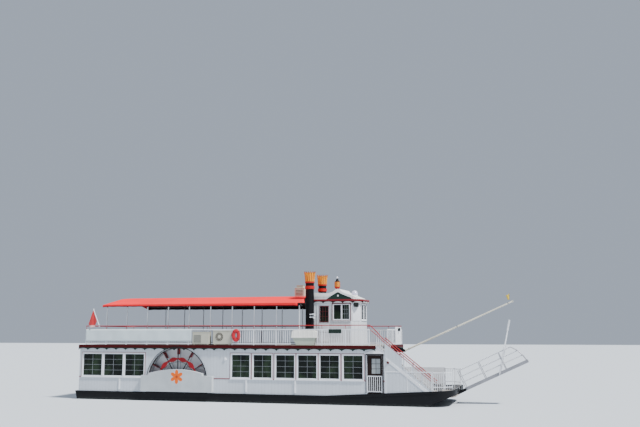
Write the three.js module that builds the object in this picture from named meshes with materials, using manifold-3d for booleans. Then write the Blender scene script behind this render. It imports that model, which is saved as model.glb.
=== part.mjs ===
// An excursion paddle boat with a turning wheel let into each side of its deckhouse.
// Millimetres. +X points to the bow, +Y to port and +Z up. The hull's flat bottom lies on z = 0.
import * as THREE from "three";
import { mergeVertices } from "three/addons/utils/BufferGeometryUtils.js";
import Module from "manifold-3d";

const wasm = await Module();
wasm.setup();

// Driving dimensions
const SEAT = 0.3; // gap where one piece stands on another
const STERN = -13400;
const BOW = 9650;
const TAPER = 8750; // where the sides start to close towards the bow
const HALF_BEAM = 3000;
const HULL_TOP = 1250;
const BOW_TOP = 1650;
const MAIN_DECK = 1300;
const UPPER_DECK = 4020;
const DECK_THICKNESS = 80;

const HOUSE_AFT = -13200;
const HOUSE_FRONT = 5845;
const HOUSE_HALF = 2950; // outer face of the side walls
const WALL = 60;
const WALL_TOP = UPPER_DECK - DECK_THICKNESS - SEAT;
const WINDOW_SILL = 2150;
const WINDOW_HEAD = 3490;
const DOORWAY = { aft: 4845, front: 5700, sill: 1340, head: 3500 };

const WHEEL = { x: -6655, z: 1970, radius: 1900, outer: 2875, inner: 2495, spokes: 12 };
const WELL_HALF = 1955;
const WELL_DEPTH = 2400; // how near the middle line each wheel well comes
const AXLE_RADIUS = 70;
const CASING = { half: 2290, outer: 3230, foot: 1300, shoulder: 2330, crown: 2600, skin: 30 };

const EDGE_HALF = 3050; // outer face of the upper deck's edge board
const EDGE_AFT = -13260;
const EDGE_FRONT = 5900;
const EDGE_FOOT = 3850;
const RAIL = { top: 4940, foot: 4070, half: 2990, thick: 40, post: 60, aft: -12840, front: 5025 };
const BAYS = 13;
const HANDRAIL = { z: 5150, radius: 24, half: 2970 };

const STAIR = { top: 5350, foot: 8700, outer: 2910, inner: 2010, risers: 12, soffit: 200 };
const CANOPY = {
  aft: -11720,
  front: 1250,
  half: 3050,
  eave: 6440,
  knee: 700,
  kneeTop: 6900,
  ridge: 6960,
  recess: 700,
  recessHalf: 2500,
};
const FUNNEL = { x: 1090, y: 1420, radius: 250, top: 8360 };
const PILOT = { aft: 1285, front: 3560, nose: 4050, half: 1150, noseHalf: 800, top: 6520, wall: 40 };
const ROOF = {
  aft: 1260,
  side: 3640,
  front: 4200,
  half: 1200,
  noseHalf: 850,
  band: 6680,
  peak: 7290,
  pedestal: 7360,
};
const PILOT_MIDDLE = 2420;

const GANGWAY = { x: 10015, z: 1555, length: 3830, beam: 430, pitch: 24.86, depth: 160, rail: 1100, pin: 22 };
const BAIL = { along: 2090, half: 500, straight: 1450, height: 3100, lean: 11.75 };
const BOOM = { x: 6483, z: 3693, length: 6920, radius: 55, tip: 38, pitch: 24.25, pin: 25 };

// Finishes: colour, roughness, metalness
const finish = (color, roughness, metalness = 0) =>
  new THREE.MeshStandardMaterial({ color, roughness, metalness });
const BLACK = finish(0x14171c, 0.45);
const WHITE = finish(0xe4e7ec, 0.5);
const MAROON = finish(0x5c1a22, 0.5);
const RED = finish(0xc0202a, 0.45);
const CORAL = finish(0xf04a4e, 0.8);
const PLANK = finish(0x8a8478, 0.7);
const CASING_GREY = finish(0xc9cdd0, 0.55);
const BROWN = finish(0x4a2c1c, 0.5);
const BEIGE = finish(0xcfc9b4, 0.5);
const YELLOW = finish(0xf2a63a, 0.5);
const METAL = finish(0xb8bcc0, 0.35, 0.9);
const SPAR = finish(0xe6d6b0, 0.5);

// A closed geometry as a solid that can be joined and cut.
function solid(geometry) {
  const bare = geometry.clone();
  bare.deleteAttribute("normal");
  bare.deleteAttribute("uv");
  const merged = mergeVertices(bare, 1e-3);
  const mesh = new wasm.Mesh({
    numProp: 3,
    vertProperties: merged.attributes.position.array,
    triVerts: new Uint32Array(merged.index.array),
  });
  return new wasm.Manifold(mesh);
}

const join = (pieces) => wasm.Manifold.union(pieces);
const cut = (piece, tools) => wasm.Manifold.difference([piece, ...tools]);

function box(x0, x1, y0, y1, z0, z1) {
  const geometry = new THREE.BoxGeometry(x1 - x0, y1 - y0, z1 - z0);
  geometry.translate((x0 + x1) / 2, (y0 + y1) / 2, (z0 + z1) / 2);
  return solid(geometry);
}

// A round bar between two points.
function rod(from, to, radius, sides = 8, endRadius = radius) {
  const a = new THREE.Vector3(...from);
  const b = new THREE.Vector3(...to);
  const along = b.clone().sub(a);
  const geometry = new THREE.CylinderGeometry(endRadius, radius, along.length(), sides);
  const upright = new THREE.Vector3(0, 1, 0);
  const turn = new THREE.Quaternion().setFromUnitVectors(upright, along.clone().normalize());
  geometry.applyQuaternion(turn);
  geometry.translate(...a.add(b).multiplyScalar(0.5).toArray());
  return solid(geometry);
}

// A turned piece on an upright axis: the profile lists [radius, height] pairs from bottom to top.
function turned(profile, x, y, sides = 16) {
  const points = profile.map(([radius, height]) => new THREE.Vector2(radius, height));
  const geometry = new THREE.LatheGeometry(points, sides);
  geometry.rotateX(Math.PI / 2);
  geometry.translate(x, y, 0);
  return solid(geometry);
}

function outline(points) {
  return new THREE.Shape(points.map(([across, up]) => new THREE.Vector2(across, up)));
}

function rectangle(x0, x1, z0, z1) {
  return [[x0, z0], [x1, z0], [x1, z1], [x0, z1]];
}

// Each plane's axes: where the outline's two directions and its thickness point.
const AXES = {
  xy: [[1, 0, 0], [0, 1, 0], [0, 0, 1]],
  yz: [[0, 1, 0], [0, 0, 1], [1, 0, 0]],
  xz: [[1, 0, 0], [0, 0, 1], [0, -1, 0]],
};

// A plate drawn in a plane, from one level to another on the third axis.
function plate(plane, drawn, from, to, curveSegments = 8) {
  const shape = drawn instanceof THREE.Shape ? drawn : outline(drawn);
  const options = { depth: to - from, bevelEnabled: false, curveSegments };
  const geometry = new THREE.ExtrudeGeometry(shape, options);
  const [across, up, thick] = AXES[plane].map((axis) => new THREE.Vector3(...axis));
  geometry.applyMatrix4(new THREE.Matrix4().makeBasis(across, up, thick));
  geometry.translate(...thick.multiplyScalar(plane === "xz" ? -to : from).toArray());
  return solid(geometry);
}

// A plate with openings cut through it.
function openPlate(plane, edge, holes, from, to) {
  const tools = holes.map((points) => plate(plane, points, from - 10, to + 10));
  return cut(plate(plane, edge, from, to), tools);
}

// The same piece on the other side of the middle line.
const mirrored = (piece) => piece.mirror([0, 1, 0]);

const boat = new THREE.Group();

function add(name, piece, material) {
  const { numProp, numVert, vertProperties, triVerts } = piece.getMesh();
  const positions = new Float32Array(numVert * 3);
  for (let i = 0; i < numVert; i++) {
    positions.set(vertProperties.subarray(i * numProp, i * numProp + 3), i * 3);
  }
  const geometry = new THREE.BufferGeometry();
  geometry.setAttribute("position", new THREE.BufferAttribute(positions, 3));
  geometry.setIndex(new THREE.BufferAttribute(new Uint32Array(triVerts), 1));
  geometry.computeVertexNormals();
  const mesh = new THREE.Mesh(geometry, material);
  mesh.name = name;
  boat.add(mesh);
  return mesh;
}

// The same piece on both sides, starboard first.
function addPair(name, starboard, material) {
  add(name + "_starboard", starboard, material);
  add(name + "_port", mirrored(starboard), material);
}

// Hull: a flat-bottomed scow with a raked bow and stern and a rising sheer strake round the foredeck
function planOutline(inset) {
  const half = HALF_BEAM - inset;
  const shape = new THREE.Shape();
  shape.moveTo(STERN + inset, -half);
  shape.lineTo(TAPER, -half);
  shape.quadraticCurveTo(BOW - inset, 100 - half, BOW - inset, 1100 - half);
  shape.lineTo(BOW - inset, half - 1100);
  shape.quadraticCurveTo(BOW - inset, half - 100, TAPER, half);
  shape.lineTo(STERN + inset, half);
  return shape;
}

const sideProfile = new THREE.Shape();
sideProfile.moveTo(-11000, 0);
sideProfile.lineTo(4800, 0);
sideProfile.quadraticCurveTo(6900, 120, BOW, 1400);
sideProfile.lineTo(BOW, BOW_TOP);
sideProfile.quadraticCurveTo(6000, 1450, 2500, HULL_TOP);
sideProfile.lineTo(STERN, HULL_TOP);
sideProfile.lineTo(STERN + 150, 700);

const STRAKE = 45;
const RUDDER = { stock: -12350, y: 1500, aft: -12950, front: -12250, foot: 90, top: 345, radius: 40 };
const gangwayGap = box(BOW - 400, BOW + 50, -620, 620, MAIN_DECK - 20, 2000);
const wheelWell = (x0, x1) => box(x0, x1, -HALF_BEAM - 50, -WELL_DEPTH, -50, 2000);
const well = wheelWell(WHEEL.x - WELL_HALF, WHEEL.x + WELL_HALF);
const onStock = (z) => [RUDDER.stock, -RUDDER.y, z];
const stockHole = rod(onStock(-10), onStock(530), RUDDER.radius + 0.6, 32);

// The hold: open under the main deck, parted by bulkheads at the wheel wells and forward
const PLATING = 60;
const HOLD_HALF = 2860;
const holdProfile = [
  [-13050, 1400],
  [-13050, 740],
  [-10980, PLATING],
  [4750, PLATING],
  [6500, 330],
  [7550, 640],
  [8600, 1030],
  [8600, 1400],
];
const wellEnds = [WHEEL.x - WELL_HALF - PLATING, WHEEL.x + WELL_HALF + PLATING];
const wellLining = box(...wellEnds, -HALF_BEAM, PLATING - WELL_DEPTH, 0, 2000);
const stockTrunk = box(RUDDER.stock - 100, RUDDER.stock + 100, -RUDDER.y - 100, 100 - RUDDER.y, 0, 650);
const bulkheads = [wellEnds[0], wellEnds[1] - PLATING, 4800];
const hold = cut(plate("xz", holdProfile, -HOLD_HALF, HOLD_HALF), [
  wellLining,
  mirrored(wellLining),
  stockTrunk,
  mirrored(stockTrunk),
  ...bulkheads.map((x) => box(x, x + PLATING, -HALF_BEAM, HALF_BEAM, 0, 2000)),
]);

const block = plate("xy", planOutline(0), 0, 2000, 10).intersect(
  plate("xz", sideProfile, -HALF_BEAM - 10, HALF_BEAM + 10, 10),
);
const hull = cut(block, [
  plate("xy", planOutline(STRAKE), HULL_TOP, 2100, 10),
  gangwayGap,
  well,
  mirrored(well),
  stockHole,
  mirrored(stockHole),
  hold,
]);
add("hull", hull, BLACK);

const deckInset = STRAKE + SEAT;
const wallInside = HOUSE_HALF - WALL - SEAT;
const sideStrip = box(STERN, HOUSE_FRONT, -HALF_BEAM, -wallInside, 0, 2000);
const deckBody = cut(plate("xy", planOutline(deckInset), HULL_TOP + SEAT, MAIN_DECK, 10), [
  sideStrip,
  mirrored(sideStrip),
  box(STERN - 10, HOUSE_AFT + WALL + SEAT, -HALF_BEAM, HALF_BEAM, 0, 2000),
  well,
  mirrored(well),
]);
add("main_deck", deckBody, PLANK);

const rudder = join([
  box(RUDDER.aft, RUDDER.front, -RUDDER.y - 25, -RUDDER.y + 25, RUDDER.foot, RUDDER.top),
  rod([RUDDER.stock, -RUDDER.y, RUDDER.foot + 20], [RUDDER.stock, -RUDDER.y, 515], RUDDER.radius, 16),
]);
addPair("rudder", rudder, BLACK);

// Deckhouse side windows: middle and width along X, aft group first
const WINDOWS = [
  { middle: -12320, width: 1300 },
  { middle: -10900, width: 1300 },
  { middle: -9480, width: 1300 },
  { middle: -2645, width: 1140 },
  { middle: -1305, width: 1140 },
  { middle: 64, width: 1140 },
  { middle: 1379, width: 1140 },
  { middle: 2691, width: 1140 },
  { middle: 4050, width: 1140 },
];
const span = ({ middle, width }) => [middle - width / 2, middle + width / 2];
const windowHole = (item) => rectangle(...span(item), WINDOW_SILL, WINDOW_HEAD);

// The wheel's opening: an arch over straight sides, open at the foot of the wall.
function archPoints(radius, foot) {
  const points = [[WHEEL.x - radius, foot], [WHEEL.x + radius, foot]];
  for (let step = 0; step <= 24; step++) {
    const turn = (Math.PI * step) / 24;
    points.push([WHEEL.x + radius * Math.cos(turn), WHEEL.z + radius * Math.sin(turn)]);
  }
  return points;
}

const RISER = (UPPER_DECK - MAIN_DECK) / STAIR.risers;
const STAIR_SLOPE = (UPPER_DECK - MAIN_DECK) / (STAIR.foot - STAIR.top);
const nosing = (x) => UPPER_DECK - STAIR_SLOPE * (x - STAIR.top);
const soffitEnd = STAIR.top + (UPPER_DECK - STAIR.soffit - WALL_TOP) / STAIR_SLOPE;

const doorHole = rectangle(DOORWAY.aft, DOORWAY.front, DOORWAY.sill, DOORWAY.head);
const wallFoot = HULL_TOP + SEAT;
const wallAft = HOUSE_AFT + WALL + SEAT;
const arch = plate("xz", archPoints(WHEEL.radius + 25, 1000), -HOUSE_HALF - 50, -2000);

function sideWall(top) {
  const holes = [...WINDOWS.map(windowHole), doorHole];
  const edge = [[wallAft, wallFoot], [HOUSE_FRONT, wallFoot], ...top, [wallAft, WALL_TOP]];
  return openPlate("xz", edge, holes, -HOUSE_HALF, WALL - HOUSE_HALF).subtract(arch);
}
const stairCut = [[HOUSE_FRONT, nosing(HOUSE_FRONT) - STAIR.soffit - SEAT], [soffitEnd - 1, WALL_TOP]];
add("house_wall_starboard", sideWall(stairCut), WHITE);
add("house_wall_port", mirrored(sideWall([[HOUSE_FRONT, WALL_TOP]])), WHITE);

const endHoles = [
  rectangle(-2500, -1300, WINDOW_SILL, WINDOW_HEAD),
  rectangle(-500, 500, DOORWAY.sill, DOORWAY.head),
  rectangle(1300, 2500, WINDOW_SILL, WINDOW_HEAD),
];
const aftEdge = rectangle(-HOUSE_HALF, HOUSE_HALF, wallFoot, WALL_TOP);
add("house_wall_aft", openPlate("yz", aftEdge, endHoles, HOUSE_AFT, HOUSE_AFT + WALL), WHITE);
const frontHoles = [rectangle(-600, 600, DOORWAY.sill, DOORWAY.head), endHoles[2]];
const frontTop = nosing(HOUSE_FRONT - WALL) - STAIR.soffit - 60;
const frontOutline = [
  [-wallInside, MAIN_DECK + SEAT],
  [wallInside, MAIN_DECK + SEAT],
  [wallInside, WALL_TOP],
  [40 - STAIR.inner, WALL_TOP],
  [40 - STAIR.inner, frontTop],
  [-wallInside, frontTop],
];
add("house_wall_front", openPlate("yz", frontOutline, frontHoles, HOUSE_FRONT - WALL, HOUSE_FRONT), WHITE);

// Window sashes: a frame behind each opening, joined by the rails of the inner lining
const SASH = { thick: 30, frame: 30, lap: 40 };
const sashFace = HOUSE_HALF - WALL - SEAT;

// Hinge knuckles on an upright axis beside a wall's face, with straps that reach the leaf they carry
const KNUCKLE = { radius: 8, height: 100, strap: 7, reach: 40 };
function knuckles({ x, y, leafX, leafY, into, heights }) {
  const [inner, outer] = [Math.min(leafY, y), Math.max(leafY, y)];
  const side = Math.sign(leafX - x);
  const strapX = [x, leafX + side * KNUCKLE.reach].sort((a, b) => a - b);
  const padX = [leafX, leafX + side * KNUCKLE.reach].sort((a, b) => a - b);
  const strapY = [y - KNUCKLE.strap / 2, y + KNUCKLE.strap / 2];
  const padY = [Math.min(inner, strapY[0], leafY + into), Math.max(outer, strapY[1], leafY + into)];
  return heights.flatMap((z) => [
    rod([x, y, z], [x, y, z + KNUCKLE.height], KNUCKLE.radius, 12),
    box(...strapX, ...strapY, z + 10, z + KNUCKLE.height - 10),
    box(...padX, ...padY, z + 10, z + KNUCKLE.height - 10),
  ]);
}

function sashPanel(group) {
  const ends = group.map(span).flat();
  const edge = rectangle(
    Math.min(...ends) - SASH.lap,
    Math.max(...ends) + SASH.lap,
    WINDOW_SILL - SASH.lap,
    WINDOW_HEAD + SASH.lap,
  );
  const panes = group.map((item) => {
    const [aft, front] = span(item);
    const [foot, head] = [WINDOW_SILL + SASH.frame, WINDOW_HEAD - SASH.frame];
    return rectangle(aft + SASH.frame, front - SASH.frame, foot, head);
  });
  return openPlate("xz", edge, panes, -sashFace, SASH.thick - sashFace);
}
addPair("window_sashes_aft", sashPanel(WINDOWS.slice(0, 3)), WHITE);
addPair("window_sashes_forward", sashPanel(WINDOWS.slice(3)), WHITE);

// Side doors and the low gates in front of them
const DOOR = { aft: 4830, front: 5715, outer: 2885, thick: 45, foot: 1310, head: 3505 };
const doorWindow = rectangle(DOOR.aft + 270, DOOR.front - 130, 2480, 3300);
const doorEdge = rectangle(DOOR.aft, DOOR.front, DOOR.foot, DOOR.head);
const doorKnuckles = knuckles({
  x: DOOR.aft - KNUCKLE.radius,
  y: WALL - HOUSE_HALF + KNUCKLE.radius + SEAT,
  leafX: DOOR.aft,
  leafY: -DOOR.outer,
  into: 10,
  heights: [1500, 2350, 3200],
});
const doorLeaf = openPlate("xz", doorEdge, [doorWindow], -DOOR.outer, DOOR.thick - DOOR.outer);
addPair("side_door", join([doorLeaf, ...doorKnuckles]), BROWN);

// A flat railing: posts with feet, a bottom rail, a top rail and upright balusters.
function railing(plane, low, high, rule) {
  const { from, to, base, foot, top, bays, post, balusters = 0, rail = 60, bar = 36 } = rule;
  const pitch = (to - from - post) / bays;
  const edge = [[from, base], [from + post, base]];
  const holes = [];
  for (let bay = 0; bay < bays; bay++) {
    const start = from + bay * pitch + post;
    const end = start + pitch - post;
    edge.push([start, foot], [end, foot], [end, base], [end + post, base]);
    const space = (end - start + bar) / (balusters + 1);
    for (let i = 0; i <= balusters; i++) {
      const left = start + i * space;
      const open = left + space - bar;
      holes.push(rectangle(left, open, foot + rail, top - rail));
    }
  }
  edge.push([to, top], [from, top]);
  return openPlate(plane, edge, holes, low, high);
}

const GATE_FOOT = 1445; // clears the hull's rising rim as the gate swings out
const gateLeaf = railing("xz", 5 - HOUSE_HALF, 35 - HOUSE_HALF, {
  from: DOORWAY.aft + 6,
  to: DOORWAY.front - 8,
  base: GATE_FOOT,
  foot: GATE_FOOT + 50,
  top: 2370,
  bays: 1,
  balusters: 6,
  post: 45,
  rail: 45,
  bar: 26,
});
const gateKnuckles = knuckles({
  x: DOORWAY.aft - 4,
  y: -HOUSE_HALF - KNUCKLE.radius - SEAT,
  leafX: DOORWAY.aft + 6,
  leafY: 5 - HOUSE_HALF,
  into: 5,
  heights: [1520, 2200],
});
addPair("side_gate", join([gateLeaf, ...gateKnuckles]), WHITE);

// Side wheels: two spiders of a rim, spokes and leaf boards, with paddle boards between them
const SPIDER = 30;
const onWheel = (radius, turn) => [WHEEL.x + radius * Math.cos(turn), WHEEL.z + radius * Math.sin(turn)];
function ringPoints(radius, steps, phase = 0) {
  return Array.from({ length: steps }, (_, step) => onWheel(radius, phase + (2 * Math.PI * step) / steps));
}
// A flat bar on a spoke's line, from one radius to another.
function radial(turn, from, to, width) {
  const side = (radius, offset) => {
    const [x, z] = onWheel(radius, turn);
    return [x - offset * Math.sin(turn), z + offset * Math.cos(turn)];
  };
  return [side(from, -width / 2), side(to, -width / 2), side(to, width / 2), side(from, width / 2)];
}
const turns = Array.from({ length: WHEEL.spokes }, (_, spoke) => (2 * Math.PI * spoke) / WHEEL.spokes);
const LEAF = { radius: 1240, swell: 100, tip: 25 };
const BOARD = { from: 1490, to: 1860, thick: 60 };
const HUB = 170;

// A leaf board from one spoke to the next, widest in its middle.
function leaf(turn) {
  const step = (2 * Math.PI) / WHEEL.spokes;
  const start = onWheel(LEAF.radius, turn);
  const end = onWheel(LEAF.radius, turn + step);
  const middle = onWheel(LEAF.radius * Math.cos(step / 2), turn + step / 2);
  const [out, over] = [Math.cos(turn + step / 2), Math.sin(turn + step / 2)];
  const at = ([x, z], offset) => [x + offset * out, z + offset * over];
  return [
    at(start, -LEAF.tip),
    at(middle, -LEAF.swell),
    at(end, -LEAF.tip),
    at(end, LEAF.tip),
    at(middle, LEAF.swell),
    at(start, LEAF.tip),
  ];
}

function spider(from, to, fillings) {
  const rim = openPlate("xz", ringPoints(WHEEL.radius, 36), [ringPoints(WHEEL.radius - 70, 36)], from, to);
  const bars = turns.map((turn) => plate("xz", radial(turn, 60, WHEEL.radius - 30, 60), from, to));
  return join([rim, ...bars, ...fillings.map((points) => plate("xz", points, from, to))]);
}
const boards = turns.map((turn) => {
  return plate("xz", radial(turn, BOARD.from, BOARD.to, BOARD.thick), 5 - WHEEL.outer, -5 - WHEEL.inner);
});
const axleLine = (y) => [WHEEL.x, y, WHEEL.z];
const wheel = join([
  spider(-WHEEL.outer, SPIDER - WHEEL.outer, turns.map(leaf)),
  spider(-SPIDER - WHEEL.inner, -WHEEL.inner, []),
  ...boards,
  rod(axleLine(-WHEEL.outer - 20), axleLine(-WHEEL.inner + 5), HUB, 16),
  rod(axleLine(-WHEEL.inner - 100), axleLine(-WELL_DEPTH + 30), AXLE_RADIUS, 16),
]);
addPair("paddle_wheel", wheel, RED);

// Wheel box: the inner wall of the well, with its ends and the axle's bearing
const BOX_WALL = 40;
const boxAft = WHEEL.x - WELL_HALF - BOX_WALL;
const boxFront = WHEEL.x + WELL_HALF + BOX_WALL;
const boxFoot = MAIN_DECK + SEAT;
const wheelBox = cut(
  join([
    box(boxAft, boxFront, -WELL_DEPTH + SEAT, -WELL_DEPTH + BOX_WALL, boxFoot, WALL_TOP),
    box(boxAft, boxAft + BOX_WALL, -wallInside, -WELL_DEPTH + BOX_WALL, boxFoot, WALL_TOP),
    box(boxFront - BOX_WALL, boxFront, -wallInside, -WELL_DEPTH + BOX_WALL, boxFoot, WALL_TOP),
    box(WHEEL.x - HUB, WHEEL.x + HUB, -WELL_DEPTH - 75, -WELL_DEPTH + 20, WHEEL.z - HUB, WHEEL.z + HUB),
  ]),
  [rod(axleLine(-WELL_DEPTH - 100), axleLine(-WELL_DEPTH + 60), AXLE_RADIUS + 1, 32)],
);
addPair("wheel_box", wheelBox, WHITE);

// Wheel casing: the low proud cover, its flat arch on top, and the hull's side plating below it
function casingShape(inset, foot) {
  const half = CASING.half - inset;
  const shape = new THREE.Shape();
  shape.moveTo(WHEEL.x - half, foot);
  shape.lineTo(WHEEL.x + half, foot);
  shape.lineTo(WHEEL.x + half, CASING.shoulder - inset);
  const control = 2 * CASING.crown - CASING.shoulder - inset;
  shape.quadraticCurveTo(WHEEL.x, control, WHEEL.x - half, CASING.shoulder - inset);
  return shape;
}
const plateAft = WHEEL.x - WELL_HALF + SEAT;
const plateFront = WHEEL.x + WELL_HALF - SEAT;
const casing = join([
  plate("xz", casingShape(0, CASING.foot), -CASING.outer, -HOUSE_HALF - SEAT, 12).subtract(
    plate("xz", casingShape(CASING.skin, CASING.foot + CASING.skin), CASING.skin - CASING.outer, -2000, 12),
  ),
  box(plateAft, plateFront, -HALF_BEAM, 40 - HALF_BEAM, 30, CASING.foot + 10),
]);
addPair("wheel_casing", casing, CASING_GREY);

// Upper deck, with a corner let out for the stair
const deckOutline = [
  [EDGE_AFT + 40, -EDGE_HALF + 40],
  [STAIR.top - SEAT, -EDGE_HALF + 40],
  [STAIR.top - SEAT, 40 - STAIR.inner],
  [EDGE_FRONT - 40, 40 - STAIR.inner],
  [EDGE_FRONT - 40, EDGE_HALF - 40],
  [EDGE_AFT + 40, EDGE_HALF - 40],
];
add("upper_deck", plate("xy", outline(deckOutline), UPPER_DECK - DECK_THICKNESS, UPPER_DECK), PLANK);

const inner = EDGE_HALF - 40 + SEAT;
const edgePlan = [
  [STAIR.top - SEAT, -EDGE_HALF],
  [STAIR.top - SEAT, -inner],
  [EDGE_AFT + 40 - SEAT, -inner],
  [EDGE_AFT + 40 - SEAT, inner],
  [EDGE_FRONT - 40 + SEAT, inner],
  [EDGE_FRONT - 40 + SEAT, 40 - STAIR.inner],
  [EDGE_FRONT, 40 - STAIR.inner],
  [EDGE_FRONT, EDGE_HALF],
  [EDGE_AFT, EDGE_HALF],
  [EDGE_AFT, -EDGE_HALF],
];
const edgeBoard = plate("xy", outline(edgePlan), EDGE_FOOT, UPPER_DECK);
add("upper_deck_edge", edgeBoard, MAROON);

// Railings of the upper deck
const onDeck = UPPER_DECK + SEAT;
const railRule = { base: onDeck, foot: RAIL.foot, top: RAIL.top, post: RAIL.post };
const OPEN_BAYS = [[-5735, -3215], [410, 1990]]; // where the cooling units and the raft box stand
const starboardRule = { ...railRule, from: RAIL.aft, to: RAIL.front, bays: BAYS };
const railInner = RAIL.thick - RAIL.half;
const baySpace = ([aft, front]) =>
  box(aft, front, -RAIL.half - 10, railInner + 10, UPPER_DECK - 20, RAIL.top - 65);
const starboardRail = cut(railing("xz", -RAIL.half, railInner, starboardRule), OPEN_BAYS.map(baySpace));
add("upper_rail_starboard", starboardRail, WHITE);
const portRule = { ...railRule, from: RAIL.aft, to: EDGE_FRONT - 60, bays: BAYS + 1 };
add("upper_rail_port", railing("xz", RAIL.half - RAIL.thick, RAIL.half, portRule), WHITE);
const railInside = RAIL.half - RAIL.thick - SEAT;
const sternRule = { ...railRule, from: -railInside, to: railInside, bays: 4 };
add("upper_rail_stern", railing("yz", RAIL.aft, RAIL.aft + RAIL.thick, sternRule), WHITE);
const frontRule = { ...railRule, from: 60 - STAIR.inner, to: railInside, bays: 3 };
add("upper_rail_front", railing("yz", EDGE_FRONT - 100, EDGE_FRONT - 60, frontRule), WHITE);

// Red handrail carried on stubs above the starboard, stern and port railings
const handPoint = (x, side) => [x, side * HANDRAIL.half, HANDRAIL.z];
const aftHand = RAIL.aft + 20;
const stubs = [];
for (let bay = 0; bay <= BAYS; bay++) {
  const x = RAIL.aft + RAIL.post / 2 + (bay * (RAIL.front - RAIL.aft - RAIL.post)) / BAYS;
  for (const side of [-1, 1]) {
    stubs.push(rod([x, side * HANDRAIL.half, RAIL.top + SEAT], handPoint(x, side), 12, 6));
  }
}
const handrail = join([
  rod(handPoint(aftHand, -1), handPoint(RAIL.front, -1), HANDRAIL.radius, 8),
  rod(handPoint(aftHand, 1), handPoint(EDGE_FRONT - 80, 1), HANDRAIL.radius, 8),
  rod(handPoint(aftHand, -1), handPoint(aftHand, 1), HANDRAIL.radius, 8),
  ...stubs,
]);
add("handrail", handrail, RED);

add("rail_banner", box(-12830, -5745, -3035, -RAIL.half - SEAT, 4220, 4965), WHITE);

// Stair: two stringers, treads and an inner handrail on posts
const STRINGER = 50;
const stairFoot = MAIN_DECK + SEAT;
const stringerPoints = [
  [STAIR.top + SEAT, nosing(STAIR.top) - STAIR.soffit],
  [STAIR.top + SEAT, UPPER_DECK],
  [STAIR.top + 60, UPPER_DECK],
  [STAIR.foot, MAIN_DECK + 50],
  [STAIR.foot, stairFoot],
  [STAIR.top + (UPPER_DECK - STAIR.soffit - stairFoot) / STAIR_SLOPE, stairFoot],
];
const stairRailTop = (x) => nosing(x) + 720;
const stairPieces = [
  plate("xz", stringerPoints, -STAIR.outer, STRINGER - STAIR.outer),
  plate("xz", stringerPoints, -STRINGER - STAIR.inner, -STAIR.inner),
];
const GOING = (STAIR.foot - STAIR.top) / STAIR.risers;
for (let step = 1; step < STAIR.risers; step++) {
  const x = STAIR.top + step * GOING;
  const z = UPPER_DECK - step * RISER;
  stairPieces.push(box(x - GOING, x + 20, 20 - STAIR.outer, -20 - STAIR.inner, z - 30, z + 5));
}
for (const x of [6000, 7300, 8600]) {
  stairPieces.push(box(x - 25, x + 25, -50 - STAIR.inner, -STAIR.inner, nosing(x) - 60, stairRailTop(x)));
}
const slopeRod = (from, to, y, radius) =>
  rod([from, y, stairRailTop(from)], [to, y, stairRailTop(to)], radius, 8);
stairPieces.push(slopeRod(5700, 8640, -25 - STAIR.inner, 24));
add("stair", join(stairPieces), WHITE);

// The closed side under the stair, with its own sloping balustrade
const panelBack = HOUSE_HALF - 30;
const panelPoints = [
  [HOUSE_FRONT + SEAT, MAIN_DECK + SEAT],
  [8450, MAIN_DECK + SEAT],
  [8450, 1560],
  [7000, 2640],
  [6800, 2640],
  [6800, nosing(6800) + 600],
  [HOUSE_FRONT + SEAT, nosing(HOUSE_FRONT) + 600],
];
const panelPosts = [6890, 7400, 7900, 8400].map((x) =>
  box(x - 25, x + 25, -HOUSE_HALF, -panelBack, Math.max(1500, nosing(x) - 40), stairRailTop(x)),
);
const panelRail = [
  [6790, nosing(6790) + 560],
  [8425, nosing(8425) + 560],
  [8425, nosing(8425) + 620],
  [6790, nosing(6790) + 620],
];
const stairPanel = join([
  plate("xz", panelPoints, -HOUSE_HALF, -panelBack),
  plate("xz", panelRail, -HOUSE_HALF, -panelBack),
  ...panelPosts,
  box(5860, 5910, -HOUSE_HALF, -panelBack, nosing(5885) + 500, stairRailTop(5885)),
  slopeRod(5700, 8425, -HOUSE_HALF + 15, 24),
]);
add("stair_side", stairPanel, WHITE);

// Foredeck: a port bulwark and railings that follow the deck's edge to the bow
const FOREDECK = { aft: 8500, bend: 9060, bendY: 2760, end: 9480, endY: 2260, top: 2600 };
function foredeckRail(start) {
  const corners = [[start, 2932], [FOREDECK.bend, FOREDECK.bendY], [FOREDECK.end, FOREDECK.endY]];
  const post = ([x, y]) => box(x - 20, x + 20, -y - 20, -y + 20, MAIN_DECK + SEAT, FOREDECK.top);
  const pieces = corners.map(post);
  for (const z of [1800, FOREDECK.top - 30]) {
    for (let i = 0; i < 2; i++) {
      const [[x0, y0], [x1, y1]] = [corners[i], corners[i + 1]];
      pieces.push(rod([x0, -y0, z], [x1, -y1, z], 19, 8));
    }
  }
  return join(pieces);
}
add("foredeck_rail_starboard", foredeckRail(FOREDECK.aft), WHITE);
const bulwarkEnds = [HOUSE_FRONT + SEAT, FOREDECK.aft - 20];
const portBulwark = box(...bulwarkEnds, -HOUSE_HALF, -panelBack, MAIN_DECK + SEAT, 2640);
add("foredeck_rail_port", mirrored(foredeckRail(FOREDECK.aft).add(portBulwark)), WHITE);

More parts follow.
